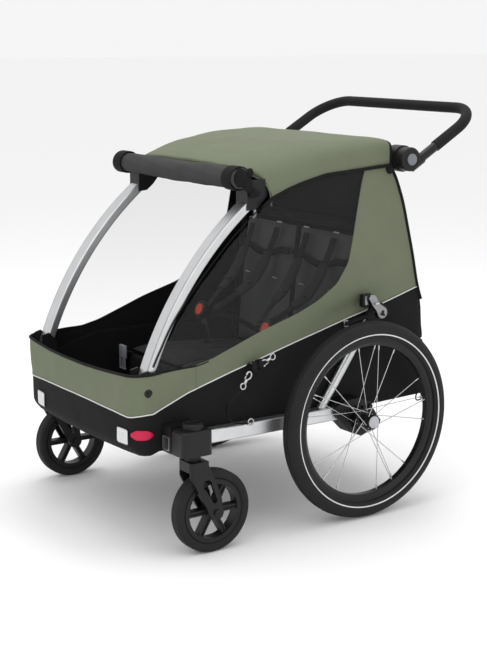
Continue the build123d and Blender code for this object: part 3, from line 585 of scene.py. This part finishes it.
def green_columns(side):
    count = 74
    made = []
    knots = np.linspace(0, 1, len(GREEN_LOW))
    for u in np.linspace(0, 1, count):
        ya = float(np.interp(u, knots, [p[0] for p in GREEN_LOW]))
        yb = float(np.interp(u, knots, [p[0] for p in GREEN_HIGH]))
        zb = float(np.interp(u, knots, [p[1] for p in GREEN_HIGH]))
        za = piping_z(ya)
        column = []
        for v in np.linspace(0, 1, 21):
            y, z = ya + (yb - ya) * v, za + (zb - za) * v
            rear = rear_y(z) - 1
            y += max(0.0, (u - 0.72) / 0.28) ** 2 * (rear - np.interp(z, [piping_z(222), 871], [222, 124]))
            if u < 0.06:                      # goes in under the front band
                y -= 5 * (1 - u / 0.06)
            pull = 0.5 * max(0.0, 1 - u / 0.06) + 8.0 * math.exp(-((y - 5) / 75) ** 2 - ((z - piping_z(y) - 24) / 20) ** 2)
            column.append((side_x(side, y, z) - side * pull, y, z))
        made.append(column)
    return made


def window_columns(side):
    made = []
    for y in steps((-554, -262, 9), (-262, -36, 12), (-36, 10, 5), (10, 47, 4)):
        low, high = window_z(y) - 3, max(top_z(y), window_z(y))
        made.append([(side_x(side, y, low + (high - low) * v) - side * (1.6 + 1.5 * math.sin(math.pi * v)), y,
                      low + (high - low) * v) for v in np.linspace(0, 1, 19)])
    return made


for side, hand in ((1, "left"), (-1, "right")):
    turned = side > 0
    panel = thick(skin(f"green_side_{hand}", green_columns(side), "chassis", ["green", "lining"], outward=turned),
                  2.2, inner=1, levels=1)
    crumples(panel)
    # painted light and shade: the left window's mesh is denser as painted shade, the right one's thinner as painted
    # light
    film = skin(f"window_{hand}", window_columns(side), "chassis", ["mesh" if side > 0 else "mesh_thinned_for_painted_light"], outward=turned)
    crumples(apply_modifiers(film))
    wedge = [[(side_x(side, y, z) + 0.0, y, z) for z in np.linspace(SEW_Z, max(SEW_Z + 0.4, piping_z(y)), 9)]
             for y in steps((-313, 222, 15))]
    wedge[-1] = [(p[0], float(np.interp(p[2], [412, 558], [249, 224])), p[2]) for p in wedge[-1]]
    crumples(thick(skin(f"upper_black_side_{hand}", wedge, "chassis", ["black", "lining"], outward=turned), 2.2,
                   inner=1, levels=1))
    path = [(side_x(side, y, piping_z(y)) + side * 0.6, y, piping_z(y)) for y in steps((SPLIT, 222, 10))]
    crumples(tube(f"side_white_piping_{hand}", path, 1.5, "chassis", "piping_white", sides=8))
    path = [(side_x(side, y, z) + side * 0.5, y + 1, z) for y, z in catmull(REAR[3:], 46)]
    crumples(tube(f"rear_edge_piping_{hand}", path, 3.8, "chassis", "piping_black"))
    path = [(side_x(side, y, z) - side * 1.2, y, z) for y, z in
            catmull([(y, window_z(y) - 1) for y in (-548, -500, -448, -413)], 20)]
    tube(f"window_sill_{hand}", path, 2.0, "chassis", "piping_black", sides=8)
    # beaded edge of the window in the arch's groove
    path = catmull([(side * 279.2, y - 3.5, z + 3.5) for y, z in ARCH_EDGE], 60)
    sweep(f"arch_bead_{hand}", path, ring_outline(1.5, 8), "upper_frame", "piping_black")

rear_columns = []
for x in np.linspace(-HALF + 1, HALF - 1, 33):
    rear_columns.append([(x, rear_y(z) + 7 * (1 - (x / HALF) ** 2) * math.sin(math.pi * (z - 268) / 144)
                          + 1.5 * noise2(x, z * 1.4, 2.2), z) for z in np.linspace(267, SEW_Z, 13)])
thick(skin("rear_bag_lower", rear_columns, "chassis", ["black", "lining"], outward=False), 2.4, inner=1, levels=1)
rear_columns = []
for x in np.linspace(-1, 1, 35):
    column = []
    for z in np.linspace(SEW_Z, 898, 31):
        half = float(np.interp(z, [412, 850, 872, 900], [284, 284, 268, 244]))
        bulge = 9 * (1 - x * x) * math.sin(math.pi * min(1, (z - 412) / 300)) + 1.5 * noise2(x * 285, z * 1.3, 5.2)
        column.append((x * half, rear_y(z) + bulge * (0.25 if z > 800 else 1), z))
    rear_columns.append(column)
crumples(thick(skin("rear_wall", rear_columns, "chassis", ["black", "lining"], outward=False, replaces=("upper_cover",)),
               2.2, inner=1, levels=1))
# flat pocket with a zip across the rear wall
pocket = []
for x in np.linspace(-205, 205, 25):
    pocket.append([(x, rear_y(z) + 18 + 5 * math.sin(math.pi * (x + 205) / 410) * math.sin(math.pi * (z - 430) / 150), z)
                   for z in np.linspace(430, 580, 13)])
crumples(thick(skin("rear_pocket", pocket, "chassis", ["black"], outward=False), 5.0, levels=1))
crumples(strap("rear_pocket_zip", [(x, rear_y(582) + 17 + 4 * math.cos(x / 130), 583) for x in (-200, -100, 0, 100, 200)],
               (0, 1, 0.4), 12, 2.4, "chassis", "web"))


# ---------------------------------------------------------------- roof
ROOF_CROWN = line([(-296, 886), (-270, 897), (-222, 912), (-181, 922), (-113, 933), (-56, 938), (0, 939), (91, 938), (120, 936)])
ROOF_SHAPE = line([(-296, 5.5), (-222, 6.0), (-150, 6.5), (-60, 8.0), (30, 11.0), (90, 20.0), (120, 30.0)])
ROOF_FALL = line([(-296, 0.42), (-222, 0.36), (-150, 0.34), (-60, 0.30), (30, 0.27), (90, 0.19), (120, 0.15)])
roof_low = line([(-296, 778)] + ROOF_EDGE)


def roof_point(u, y):
    """u runs from -1 at the left flap's edge to 1 at the right one's."""
    a = abs(u)
    low, crown = roof_low(y), ROOF_CROWN(y)
    lift = (1 - a ** ROOF_SHAPE(y)) ** ROOF_FALL(y)
    x = u * 290.5 * (1 - 0.004 * (1 - lift))
    wrinkle = 1.3 * noise2(x * 0.8, y * 1.2, 0.4) * min(1, lift * 1.5)
    return (x, y, low + (crown - low) * lift + wrinkle)


def roof_us(count):
    t = np.linspace(-1, 1, count)
    return np.sign(t) * (1 - (1 - np.abs(t)) ** 2.3)


roof_columns = []
for u in roof_us(59):
    x, _, z = roof_point(u, -296 + 53 * max(0.0, (abs(u) - 0.60) / 0.40) ** 1.8)
    column = [(x, -291 + 53 * max(0.0, (abs(u) - 0.60) / 0.40) ** 1.8, z - 12)]
    for y in steps((-296, -200, 8), (-200, 120, 13)):
        # the front hem runs back towards each side, over the end of the bow
        shift = max(0.0, (-200 - y) / 96) * 53 * max(0.0, (abs(u) - 0.60) / 0.40) ** 1.8
        x, _, z = roof_point(u, y + shift)
        column.append((x, y + shift, z))
    # turned-down rear hem
    x, y, z = column[-1]
    drop = max(0.0, z - 872)
    column.append((x, y + 4, z - drop * 0.10))
    column.append((x, y + 5.5, z - drop * 0.34))
    column.append((x * 0.999, y + 5, z - min(34.0, drop * 0.66)))
    roof_columns.append(column)
roof = thick(skin("roof_fabric", roof_columns, "upper_frame", ["green", "lining"], outward=True,
                  replaces=("roof_cover",)), 2.4, inner=1, levels=1)
for side, hand in ((1, "left"), (-1, "right")):
    path = [(side * 290.0, y, roof_low(y)) for y in steps((-262, 118, 10))]
    tube(f"roof_piping_{hand}", path, 4.2, "upper_frame", "piping_black")
hem = [roof_columns[i][0] for i in range(len(roof_columns))]
tube("roof_front_hem", hem, 2.2, "upper_frame", "green", sides=8)


tube("roof_rear_hem", [c[-3] for c in roof_columns], 3.4, "upper_frame", "piping_black", sides=8)


def lump(name, centre, radii, body, mat, seed):
    """Bunched cloth: a crumpled ball."""
    verts, rings, around = [], 15, 28
    for i in range(rings):
        b = math.pi * (i + 0.5) / rings
        for j in range(around):
            a = 2 * math.pi * j / around
            n = np.array([math.sin(b) * math.cos(a), math.sin(b) * math.sin(a), math.cos(b)])
            k = 1 + 0.16 * noise2(n[0] * 90 + n[2] * 60, n[1] * 110, seed) - 0.13 * abs(math.sin(3 * a + 4 * b + seed)) ** 3
            verts.append(tuple(np.array(centre) + n * radii * k))
    faces = grid_faces(rings, around, close_columns=True)
    faces += [tuple(reversed(range(around))), tuple(range((rings - 1) * around, rings * around))]
    obj = piece(name, verts, [tuple(reversed(f)) for f in faces], body, mat)
    modifier(obj, "SUBSURF", levels=1, render_levels=1)
    return apply_modifiers(obj)


for side, hand in ((1, "left"), (-1, "right")):
    lump(f"roof_rear_knot_{hand}", (side * 289, 124, 862), (7, 13, 13), "upper_frame", "piping_black", 2.0 + side)


# ---------------------------------------------------------------- rolled front cover with its ties
roll_rows, roll_columns = [], 36
for x in np.linspace(-287, 287, 61):
    loose = 1.0 + 0.045 * noise2(x * 1.7, 0, 1.1) + 0.05 * math.exp(-((x - 190) / 90) ** 2)
    tie = sum(math.exp(-((x - c) / 7) ** 2) for c in (-232, 236))
    sag = -3.5 * math.cos(x / 287 * math.pi / 2)
    row = []
    for k in range(roll_columns):
        a = 2 * math.pi * k / roll_columns
        spiral = 1.6 if 1.2 < a < 1.5 else 0.0
        ridge = 0.7 * math.sin(3 * a + x * 0.02) + 0.6 * math.sin(7 * a - x * 0.035)
        r = 25.5 * loose + ridge + spiral - 3.2 * min(1, tie)
        row.append((x, -322 + r * math.cos(a), 862 + sag + r * 0.97 * math.sin(a)))
    roll_rows.append(row)
verts = [p for r in roll_rows for p in r]
faces = grid_faces(len(roll_rows), roll_columns, close_columns=True)
for end, inward in ((0, 1), (len(roll_rows) - 1, -1)):
    start = end * roll_columns
    x0 = roll_rows[end][0][0]
    ring, last = len(verts), start
    for k, (share, deep) in enumerate(((0.80, 0), (0.62, 5), (0.40, 1), (0.20, 6))):
        ring = len(verts)
        for p in roll_rows[end]:
            verts.append((x0 + inward * deep, -322 + (p[1] + 322) * share, 859 + (p[2] - 859) * share))
        for j in range(roll_columns):
            quad = (last + j, last + (j + 1) % roll_columns, ring + (j + 1) % roll_columns, ring + j)
            faces.append(quad if end else tuple(reversed(quad)))
        last = ring
    cap = tuple(range(last, last + roll_columns))
    faces.append(cap if end else tuple(reversed(cap)))
roll = piece("rolled_front_cover", verts, faces, "upper_frame", "roll", replaces=("rolled_cover",))
modifier(roll, "SUBSURF", levels=1, render_levels=1)
apply_modifiers(roll)
for x, name in ((-262, "roll_end_band_right"), (262, "roll_end_band_left")):
    path = [(x + 3 * math.sin(a), -322 + 28 * math.cos(a), 861 + 28 * math.sin(a))
            for a in np.linspace(0, 2 * math.pi, 33)[:-1]]
    directions = (None, np.array([(1.0, 0, 0)] * 32), np.array([(0, math.cos(a), math.sin(a))
                                                               for a in np.linspace(0, 2 * math.pi, 33)[:-1]]))
    sweep(name, path, strap_outline(40, 2.2), "upper_frame", "piping_black", closed=True, directions=directions)
# gathered ties bunched at the left end, and their tail down to the arch
for k, (x, y, z, rx, ry, rz) in enumerate(((285, -322, 862, 8, 22, 24), (287, -303, 846, 8, 16, 18), (288, -284, 826, 7, 17, 12),
                                           (283, -298, 872, 8, 13, 13))):
    lump(f"tie_bunch_{k + 1}", (x, y, z), (rx, ry, rz), "upper_frame", "piping_black", 1.3 * k)


# ---------------------------------------------------------------- seats, seat backs and harness
def pad(name, centre, across, along, normal, width, length, depth, body, mats, channels=0, tufts=(), seed=0.0):
    """Stuffed pad: its face swells between its seams, and its edge is rounded."""
    across, along, normal = Vector(across).normalized(), Vector(along).normalized(), Vector(normal).normalized()
    nx, ny = max(15, round(width / 7)), max(15, round(length / 9))
    verts, faces = [], []
    for layer in (1, -1):
        for i in range(nx):
            for j in range(ny):
                u, v = -1 + 2 * i / (nx - 1), -1 + 2 * j / (ny - 1)
                edge = (1 - abs(u) ** 5) ** 0.5 * (1 - abs(v) ** 5) ** 0.5
                puff = edge
                if channels and layer > 0:
                    puff *= 0.80 + 0.20 * abs(math.sin(math.pi * channels * (u + 1) / 2)) ** 0.6
                for tu, tv in tufts:
                    if layer > 0:
                        puff -= 0.30 * math.exp(-((u - tu) / 0.10) ** 2 - ((v - tv) / 0.06) ** 2)
                rough = 0.035 * noise2(u * 150, v * 190, seed + 0.7) if layer > 0 else 0
                height = depth * ((0.62 if layer > 0 else -0.38) * (puff + rough * edge))
                c = Vector(centre) + across * (u * width / 2 * (1 - 0.012 * abs(v) ** 6)) \
                    + along * (v * length / 2 * (1 - 0.012 * abs(u) ** 6)) + normal * height
                verts.append(tuple(c))
    plane = nx * ny
    for i in range(nx - 1):
        for j in range(ny - 1):
            a, b, c, d = i * ny + j, (i + 1) * ny + j, (i + 1) * ny + j + 1, i * ny + j + 1
            faces += [(a, b, c, d), (plane + a, plane + d, plane + c, plane + b)]
    rim = [i * ny for i in range(nx)] + [(nx - 1) * ny + j for j in range(1, ny)] \
        + [i * ny + ny - 1 for i in range(nx - 2, -1, -1)] + [j for j in range(ny - 2, 0, -1)]
    for a, b in zip(rim, rim[1:] + rim[:1]):
        faces.append((a, plane + a, plane + b, b))
    obj = piece(name, verts, faces, body, mats)
    modifier(obj, "SUBSURF", levels=1, render_levels=1)
    apply_modifiers(obj)
    return obj


BACK_UP = Vector((0, 38, 352)).normalized()
BACK_FACE = Vector((0, -352, 38)).normalized()


def on_back(x, up, out=0.0):
    """A point on the seat back's front face, up millimetres from its foot."""
    return tuple(Vector((x, 14, 350)) + BACK_UP * up + BACK_FACE * out)


for side, hand in ((1, "left"), (-1, "right")):
    x = side * 125
    pad(f"seat_cushion_{hand}", (x, -152, 349), (1, 0, 0), (0, 338, -20), (0, 20, 338), 240, 345, 34, "chassis",
        ["seat"], channels=3, tufts=((0, -0.35),), seed=side)
    back = pad(f"seat_back_{hand}", tuple(Vector(on_back(x, 172)) - BACK_FACE * 8), (1, 0, 0), BACK_UP, BACK_FACE, 240,
               345, 26, "chassis", ["seat_light"], channels=3, tufts=((-0.4, 0.55), (0.4, 0.55)), seed=side + 3)
    crumples(back)
    if side > 0:
        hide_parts("seat")
        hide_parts("seat_back")
    # dark scalloped hem that sags between the straps
    yoke = []
    for t in np.linspace(-1, 1, 33):
        dip = 16 * (1 - t * t) + 9 * abs(math.cos(2.5 * t))
        yoke.append([on_back(x + t * 116, 290 - dip - 15 * v, 13 + 4 * math.sin(math.pi * v)) for v in np.linspace(0, 1, 7)])
    crumples(thick(skin(f"seat_yoke_{hand}", yoke, "chassis", ["lining"], outward=True), 2.0, levels=1))
    for k, (dx, up) in enumerate(((-64, 347), (64, 347), (-64, 196), (64, 196))):
        slot = cube(f"seat_slot_{hand}_{k + 1}", -11, 11, -1, 1, -1.6, 1.6, "chassis", "stripe", bevel=0.5)
        apply_modifiers(slot)
        move = Vector(place(on_back(x + dx, up, 17))) - Vector(place((0, 0, 0)))
        for v in slot.data.vertices:
            v.co += move
        crumples(slot)
    for k, dx in enumerate((-58, 58)):
        # shoulder strap: webbing from the upper slot, over a thick pad, to the buckle
        path = [on_back(x + dx, 332, 18), on_back(x + dx * 0.98, 300, 26), on_back(x + dx * 0.95, 240, 48),
                (x + dx * 0.86, -46, 540), (x + dx * 0.60, -108, 496), (x + side * 0 + dx * 0.28, -146, 470)]
        web = strap(f"shoulder_web_{hand}_{k + 1}", path, (0, -0.85, 0.5), 24, 1.8, "chassis", "web", 44)
        crumples(web)
        line_points = catmull(path, 60)[14:44]
        normals = np.array([(0, -0.85, 0.5)] * len(line_points)) + 0.0
        bulge = [0.72 + 0.28 * math.sin(math.pi * i / (len(line_points) - 1)) ** 0.5 for i in range(len(line_points))]
        cushion = sweep(f"shoulder_pad_{hand}_{k + 1}", line_points,
                        [(-23, 0), (-20, 5), (-12, 7.5), (0, 8.2), (12, 7.5), (20, 5), (23, 0), (18, -4), (0, -5), (-18, -4)],
                        "chassis", "seat", directions=facing(line_points, normals), scale=bulge)
        modifier(cushion, "SUBSURF", levels=1, render_levels=1)
        apply_modifiers(cushion)
        crumples(cushion)
        if side > 0 and k == 0:
            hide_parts("harness")
        # hip strap from the seat's rear corner to the buckle
        path = [(x + dx * 1.65, -6, 372), (x + dx * 1.5, -40, 404), (x + dx * 1.0, -100, 446), (x + dx * 0.30, -150, 463)]
        crumples(strap(f"hip_web_{hand}_{k + 1}", path, (0, -0.5, 0.85), 24, 1.8, "chassis", "web", 30))
        slide = cube(f"strap_slide_{hand}_{k + 1}", -15, 15, -3, 3, -9, 9, "chassis", "plastic", bevel=2)
        apply_modifiers(slide)
        move = Vector(place((x + dx * 0.80, -60, 533))) - Vector(place((0, 0, 0)))
        for v in slide.data.vertices:
            v.co += move
        crumples(slide)
    crotch = [(x + side * 31, -135, 372), (x + side * 31, -142, 400), (x + side * 31, -150, 440)]
    strap(f"crotch_web_{hand}", crotch, (0, -1, 0.2), 26, 2.2, "chassis", "web_grey", 20)
# sleeve that hangs the seat backs on the cross tube
tube("back_frame_sleeve", [(x, 100.4 + 0.4 * math.sin(x * 0.05), 707.4) for x in range(-254, 255, 4)], 12.5, "back_frame",
     "lining", sides=14)
# narrow cloth between the two seat backs, and the dark cloth that closes them at the sides
for x0, x1, name in ((-6, 6, "seat_back_middle"), (245, 277, "seat_back_flap_left"), (-277, -245, "seat_back_flap_right")):
    columns = [[on_back(x, up, 2 - 5 * abs(x - (x0 + x1) / 2) / 16) for up in np.linspace(0, 352, 15)]
               for x in np.linspace(x0, x1, 5)]
    crumples(thick(skin(name, columns, "chassis", ["lining"], outward=True), 1.6))
apron = [[(x, y, z + 1.5 * noise2(x, y, 8)) for y, z in catmull([(-332, 352), (-336, 330), (-334, 300), (-338, 272)], 9)]
         for x in np.linspace(-246, 246, 25)]
thick(skin("seat_front_apron", apron, "chassis", ["lining"], outward=True), 2.0)

# loose buckle half, sewn by a short tab to the seat's front edge
strap("loose_buckle_web", [(-228, -330, 352), (-232, -342, 356), (-236, -350, 356)], (0, 0.1, 1), 24, 2.0, "chassis", "web", 16)
# the buckle's grey is painted lighter against the shade it sits in
parts = [cube("loose_buckle", -253, -221, -358, -350, 338, 374, "chassis", "buckle_grey", bevel=2.5)]
for x0, x1, z0, z1 in ((-253, -249, 310, 340), (-240, -237, 312, 340), (-229, -226, 312, 340), (-253, -223, 308, 312)):
    parts.append(cube(f"loose_buckle_{x0}_{z0}", x0, x1, -357, -352, z0, z1, "chassis", "buckle_grey", bevel=1.0))
join(parts)


# ---------------------------------------------------------------- safety strap, hooks and latch straps
STRAP_X = 331.0
STRAP_POINTS = [(-334, 284.6), (-366, 285.0), (-388, 304), (-394, 331), (-378, 352), (-352, 366)]


def nurbs(points, count):
    """Points on an open quadratic B-spline through its end points."""
    p = np.array(points, float)
    n = len(p)
    knots = np.concatenate([[0, 0], np.linspace(0, 1, n - 1), [1, 1]])
    made = []
    for t in np.linspace(0, 1 - 1e-9, count):
        k = int(np.searchsorted(knots, t, "right") - 1)
        d = [p[j + k - 2] for j in range(3)]
        for r in range(1, 3):
            for j in range(2, r - 1, -1):
                a = (t - knots[j + k - 2]) / (knots[j + 1 + k - r] - knots[j + k - 2])
                d[j] = (1 - a) * d[j - 1] + a * d[j]
        made.append(d[2])
    return np.array(made)


strap_line = np.array([(STRAP_X, y, z) for y, z in nurbs(STRAP_POINTS, 90)])
tangent = np.gradient(strap_line, axis=0)
side_dirs = np.array([(1.0, 0, 0)] * len(strap_line))
up_dirs = np.cross(side_dirs, tangent / np.linalg.norm(tangent, axis=1)[:, None])
ribbon = sweep("safety_strap_web", strap_line, strap_outline(12, 2.2), "chassis", "web",
               directions=(tangent, side_dirs, up_dirs), replaces=("safety_strap",))

# ring on the rail that the strap's lower end is sewn round
ring = [(STRAP_X - 3, -322 + 8 * math.cos(a), 285 + 8 * math.sin(a)) for a in np.linspace(0, 2 * math.pi, 25)[:-1]]
sweep("strap_ring", ring, ring_outline(1.7, 8), "chassis", "steel", closed=True)

# loops sewn to the white piping that the two snap hooks hang from
for k, (y, z) in enumerate(((-302, 412), (-282, 416))):
    path = [(292 + 15 * math.sin(a) + 12, y + 3 * math.cos(2 * a), z + 12 * math.cos(a))
            for a in np.linspace(0, 2 * math.pi, 31)[:-1]]
    sweep(f"hook_loop_{k + 1}", path, strap_outline(11, 2.0), "chassis", "web", closed=True)


def hook(name, tail, head, x):
    """Bolt snap: a swivel eye, a barrel and an open jaw, lying along the body's side."""
    tail, head = Vector((x, *tail)), Vector((x, *head))
    along = (head - tail).normalized()
    over = along.cross(Vector((1, 0, 0))).normalized()
    eye = [tuple(tail + along * (7 * math.cos(a)) + over * (7.5 * math.sin(a))) for a in np.linspace(0, 2 * math.pi, 25)[:-1]]
    parts = [sweep(name, eye, ring_outline(2.1, 8), "chassis", "steel", closed=True)]
    parts.append(sweep(name + "_b", [tuple(tail + along * s) for s in (7, 9, 17, 19)], ring_outline(4.2, 12), "chassis",
                       "steel", scale=[0.7, 1, 1, 0.7]))
    jaw = [tuple(tail + along * s + over * o) for s, o in ((18, 0), (22, 5), (29, 7), (36, 4), (38, -2), (34, -7), (27, -7.5))]
    parts.append(sweep(name + "_c", catmull(jaw, 30), ring_outline(2.4, 8), "chassis", "steel"))
    parts.append(sweep(name + "_d", [tuple(tail + along * s - over * 6.5) for s in (16, 26)], ring_outline(1.7, 8),
                       "chassis", "steel"))
    return join(parts)


first = hook("snap_hook_low", (-336, 372), (-312, 407), 316)
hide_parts("snap_hooks")
second = hook("snap_hook_high", (-248, 432), (-283, 416), 312)

# strap tail at the left latch with its small clip
for side, hand in ((1, "left"), (-1, "right")):
    path = [(side * 325, 52, 514), (side * 324, 40, 506), (side * 318, 22, 498), (side * 306, 4, 491), (side * 296, -8, 484)]
    strap(f"latch_web_{hand}", path, (0.2 * side, -0.5, 0.8), 13, 2.0, "chassis", "web", 30)
    cube(f"latch_clip_{hand}", *sorted((side * 292, side * 297)), -20, -6, 476, 492, "chassis", "steel", bevel=1.2)


# loop at the rear lower corner
for side, hand in ((1, "left"), (-1, "right")):
    path = catmull([(side * 287, y, z) for y, z in ((231, 267), (245, 267), (246, 251), (230, 251))], 28, closed=True)
    sweep(f"rear_loop_{hand}", path, ring_outline(1.9, 8), "chassis", "plastic", closed=True)


# ---------------------------------------------------------------- tyres and trims
for side, hand in ((1, "left"), (-1, "right")):
    # thin reflective ring on the sidewall, where its radius is 219
    turn = np.linspace(0, 2 * math.pi, 181)[:-1]
    radial = np.array([(0.0, math.sin(a), math.cos(a)) for a in turn])
    lean = math.asin(7.5 / 23.5)
    out = np.array([side * 1.0, 0, 0])
    ups = out * math.cos(lean) - radial * math.sin(lean)
    sides = radial * math.cos(lean) + out * math.sin(lean)
    path = [(side * (WHEEL_X + 22.2), 219 * r[1], AXLE_Z + 219 * r[2]) for r in radial]
    sweep(f"tyre_stripe_{hand}", path, strap_outline(3.2, 1.0), f"wheel_{hand}", "stripe", closed=True,
          directions=(None, sides, ups))

# reflectors and the crimson tab that wraps the left corner
def nose_run(side, z, lengths):
    """Points and outward directions round the nose, at distances from its middle towards one side."""
    columns = [c for c in nose_columns() if c[0] * side >= 0]
    columns.sort(key=lambda c: abs(c[0]))
    points = [nose_point(c, z) for c in columns] + [(side_x(side, y, z), y, z) for y in (-560, -540, -520)]
    normals = [(c[2], c[3], 0) for c in columns] + [(side, 0, 0)] * 3
    points, normals = np.array(points), np.array(normals, float)
    along = np.concatenate([[abs(points[0][0])], abs(points[0][0]) + np.cumsum(
        np.linalg.norm(np.diff(points, axis=0), axis=1))])
    pick = lambda values: np.stack([np.interp(lengths, along, values[:, k]) for k in range(3)], axis=1)
    return pick(points), pick(normals)


def badge(name, side, s0, s1, z0, z1, out, depth, mat, taper=0.0):
    """Low rounded plate that follows the nose."""
    lengths, count = np.linspace(s0, s1, 17), 9
    columns = []
    for i, s in enumerate(lengths):
        u = 2 * i / (len(lengths) - 1) - 1
        half = (z1 - z0) / 2 * (1 - 0.16 * abs(u) ** 8 - taper * max(0.0, abs(u) - 0.45) / 0.55)
        column = []
        for v in np.linspace(-1, 1, count):
            z = (z0 + z1) / 2 + half * v
            point, normal = nose_run(side, z, np.array([s]))
            dome = depth * (1 - 0.55 * max(abs(u), abs(v)) ** 6)
            column.append(tuple(point[0] + normal[0] * (out + dome)))
        columns.append(column)
    return thick(skin(name, columns, "chassis", [mat], outward=side > 0), 2.4)


for side, hand, start in ((1, "left", 209), (-1, "right", 170)):
    badge(f"reflector_frame_{hand}", side, start - 2, start + 44, 254, 295, 0.6, 2.4, "plastic")
    badge(f"reflector_rim_{hand}", side, start, start + 42, 256, 293, 1.4, 2.6, "piping_white")
    badge(f"reflector_lens_{hand}", side, start + 8, start + 34, 263, 286, 2.0, 3.0, "reflector")
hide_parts("front_reflectors")
badge("crimson_corner_tab", 1, 260, 314, 270, 295, 0.8, 4.0, "tab_red", taper=0.62)

# stamped ear and housing of the frame latches
for side, hand in ((1, "left"), (-1, "right")):
    outline = [(79 + 15 * math.cos(a), 506 + 15 * math.sin(a)) for a in np.radians(np.linspace(-150, 60, 12))]
    outline += [(70, 530), (56, 552), (42, 556), (36, 546), (48, 526), (60, 512)]
    verts, faces, n = [], [], len(outline)
    for x in (322.8, 325.2):
        verts += [(side * x, y, z) for y, z in outline]
    faces = [tuple(range(n)), tuple(range(2 * n - 1, n - 1, -1))] + [(i, n + i, n + (i + 1) % n, (i + 1) % n)
                                                                  for i in range(n)]
    ear = piece(f"latch_ear_{hand}", verts, faces, f"latch_lever_{hand}", "dark_steel", smooth=False)
    modifier(ear, "BEVEL", width=0.0006, segments=2)
    disc = [(y, z) for y, z in ((80 + 4.6 * math.cos(a), 508 + 4.6 * math.sin(a)) for a in np.linspace(0, 2 * math.pi, 25)[:-1])]
    verts = [(side * x, y, z) for x in (324.6, 325.6) for y, z in disc]
    faces = [tuple(range(24)), tuple(range(47, 23, -1))] + [(i, 24 + i, 24 + (i + 1) % 24, (i + 1) % 24) for i in range(24)]
    piece(f"latch_ear_hole_{hand}", verts, faces, f"latch_lever_{hand}", "plastic", smooth=False)
    cube(f"latch_block_{hand}", *sorted((side * 295.5, side * 315)), 26, 58, 522, 555, "chassis", "plastic", bevel=4)
    cube(f"latch_plate_{hand}", *sorted((side * 315, side * 316.4)), 30, 40, 529, 551, "chassis", "dark_steel", bevel=0.6)


# ---------------------------------------------------------------- finishes for the CAD pieces
FINISH = {
    "alu": ["side_rail", "strut", "front_cross_tube", "axle_tube", "arch_left", "arch_right", "front_bow", "back_frame",
            "roof_side_tubes"],
    "steel": ["wheel_axles", "wheel_spokes", "snap_hooks", "latch_lever"],
    "black_metal": ["handlebar_tube", "wheel_rim"],
    "plastic": ["latch_housings", "axle_receiver", "arch_feet", "arch_pivot_pins", "roof_connectors", "hub_housings",
                "handlebar_knuckles", "caster_bracket", "caster_fork", "caster_core", "caster_lock", "wheel_hub_left",
                "wheel_hub_right", "buckles", "brake_bar"],
    "plastic_grey": ["handlebar_button"],
    "silver_cap": ["wheel_hub_button"],
    "red": ["buckle_button"],
    "foam": ["handlebar_grip"],
    "tyre": ["wheel_tyre", "caster_tyre"],
}
for key, starts in FINISH.items():
    for name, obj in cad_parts.items():
        if any(name.startswith(s) for s in starts):
            for k in range(max(1, len(obj.material_slots))):
                if obj.material_slots:
                    obj.material_slots[k].material = M[key]
                else:
                    obj.data.materials.append(M[key])


# ---------------------------------------------------------------- floor, light and camera
def simple(name, colour, roughness):
    mat, nodes, links, shader = new_material(name)
    shader.inputs["Base Color"].default_value = (*colour, 1)
    shader.inputs["Roughness"].default_value = roughness
    return mat


ground = bpy.data.meshes.new("floor")
ground.from_pydata([(-60, -60, 0), (60, -60, 0), (60, 60, 0), (-60, 60, 0)], [], [(0, 1, 2, 3)])
ground.materials.append(simple("pale_floor", (0.97, 0.97, 0.97), 0.9))
ground = bpy.data.objects.new("floor", ground)
bpy.context.scene.collection.objects.link(ground)

world = bpy.data.worlds.new("studio")
world.use_nodes = True
world.node_tree.nodes["Background"].inputs["Color"].default_value = (1.0, 1.0, 1.0, 1)
world.node_tree.nodes["Background"].inputs["Strength"].default_value = 0.92
bpy.context.scene.world = world


def lamp(name, at, aim, size, power, colour=(1, 1, 1)):
    data = bpy.data.lights.new(name, "AREA")
    data.shape, data.size, data.energy, data.color = "SQUARE", size, power, colour
    obj = bpy.data.objects.new(name, data)
    bpy.context.scene.collection.objects.link(obj)
    obj.location = at
    obj.rotation_euler = (Vector(aim) - Vector(at)).to_track_quat("-Z", "Y").to_euler()
    return obj


lamp("key", (1.0, -2.6, 3.2), (0, 0, 0.5), 2.2, 18)
lamp("top", (-0.4, 0.4, 3.6), (0, 0, 0.5), 2.4, 42)
lamp("side", (3.4, 0.6, 1.8), (0, 0, 0.5), 2.0, 8)

camera_data = bpy.data.cameras.new("camera")
camera_data.sensor_fit, camera_data.sensor_height, camera_data.lens = "VERTICAL", 36.0, 78.6
camera = bpy.data.objects.new("camera", camera_data)
bpy.context.scene.collection.objects.link(camera)
azimuth, elevation = math.radians(56.17), math.radians(11.62)
back = Vector((math.sin(azimuth) * math.cos(elevation), -math.cos(azimuth) * math.cos(elevation), math.sin(elevation)))
camera.location = (3.0334, -2.0492, 1.1932)
camera.rotation_euler = back.to_track_quat("Z", "Y").to_euler()
bpy.context.scene.camera = camera
bpy.context.scene.view_settings.view_transform = "Standard"
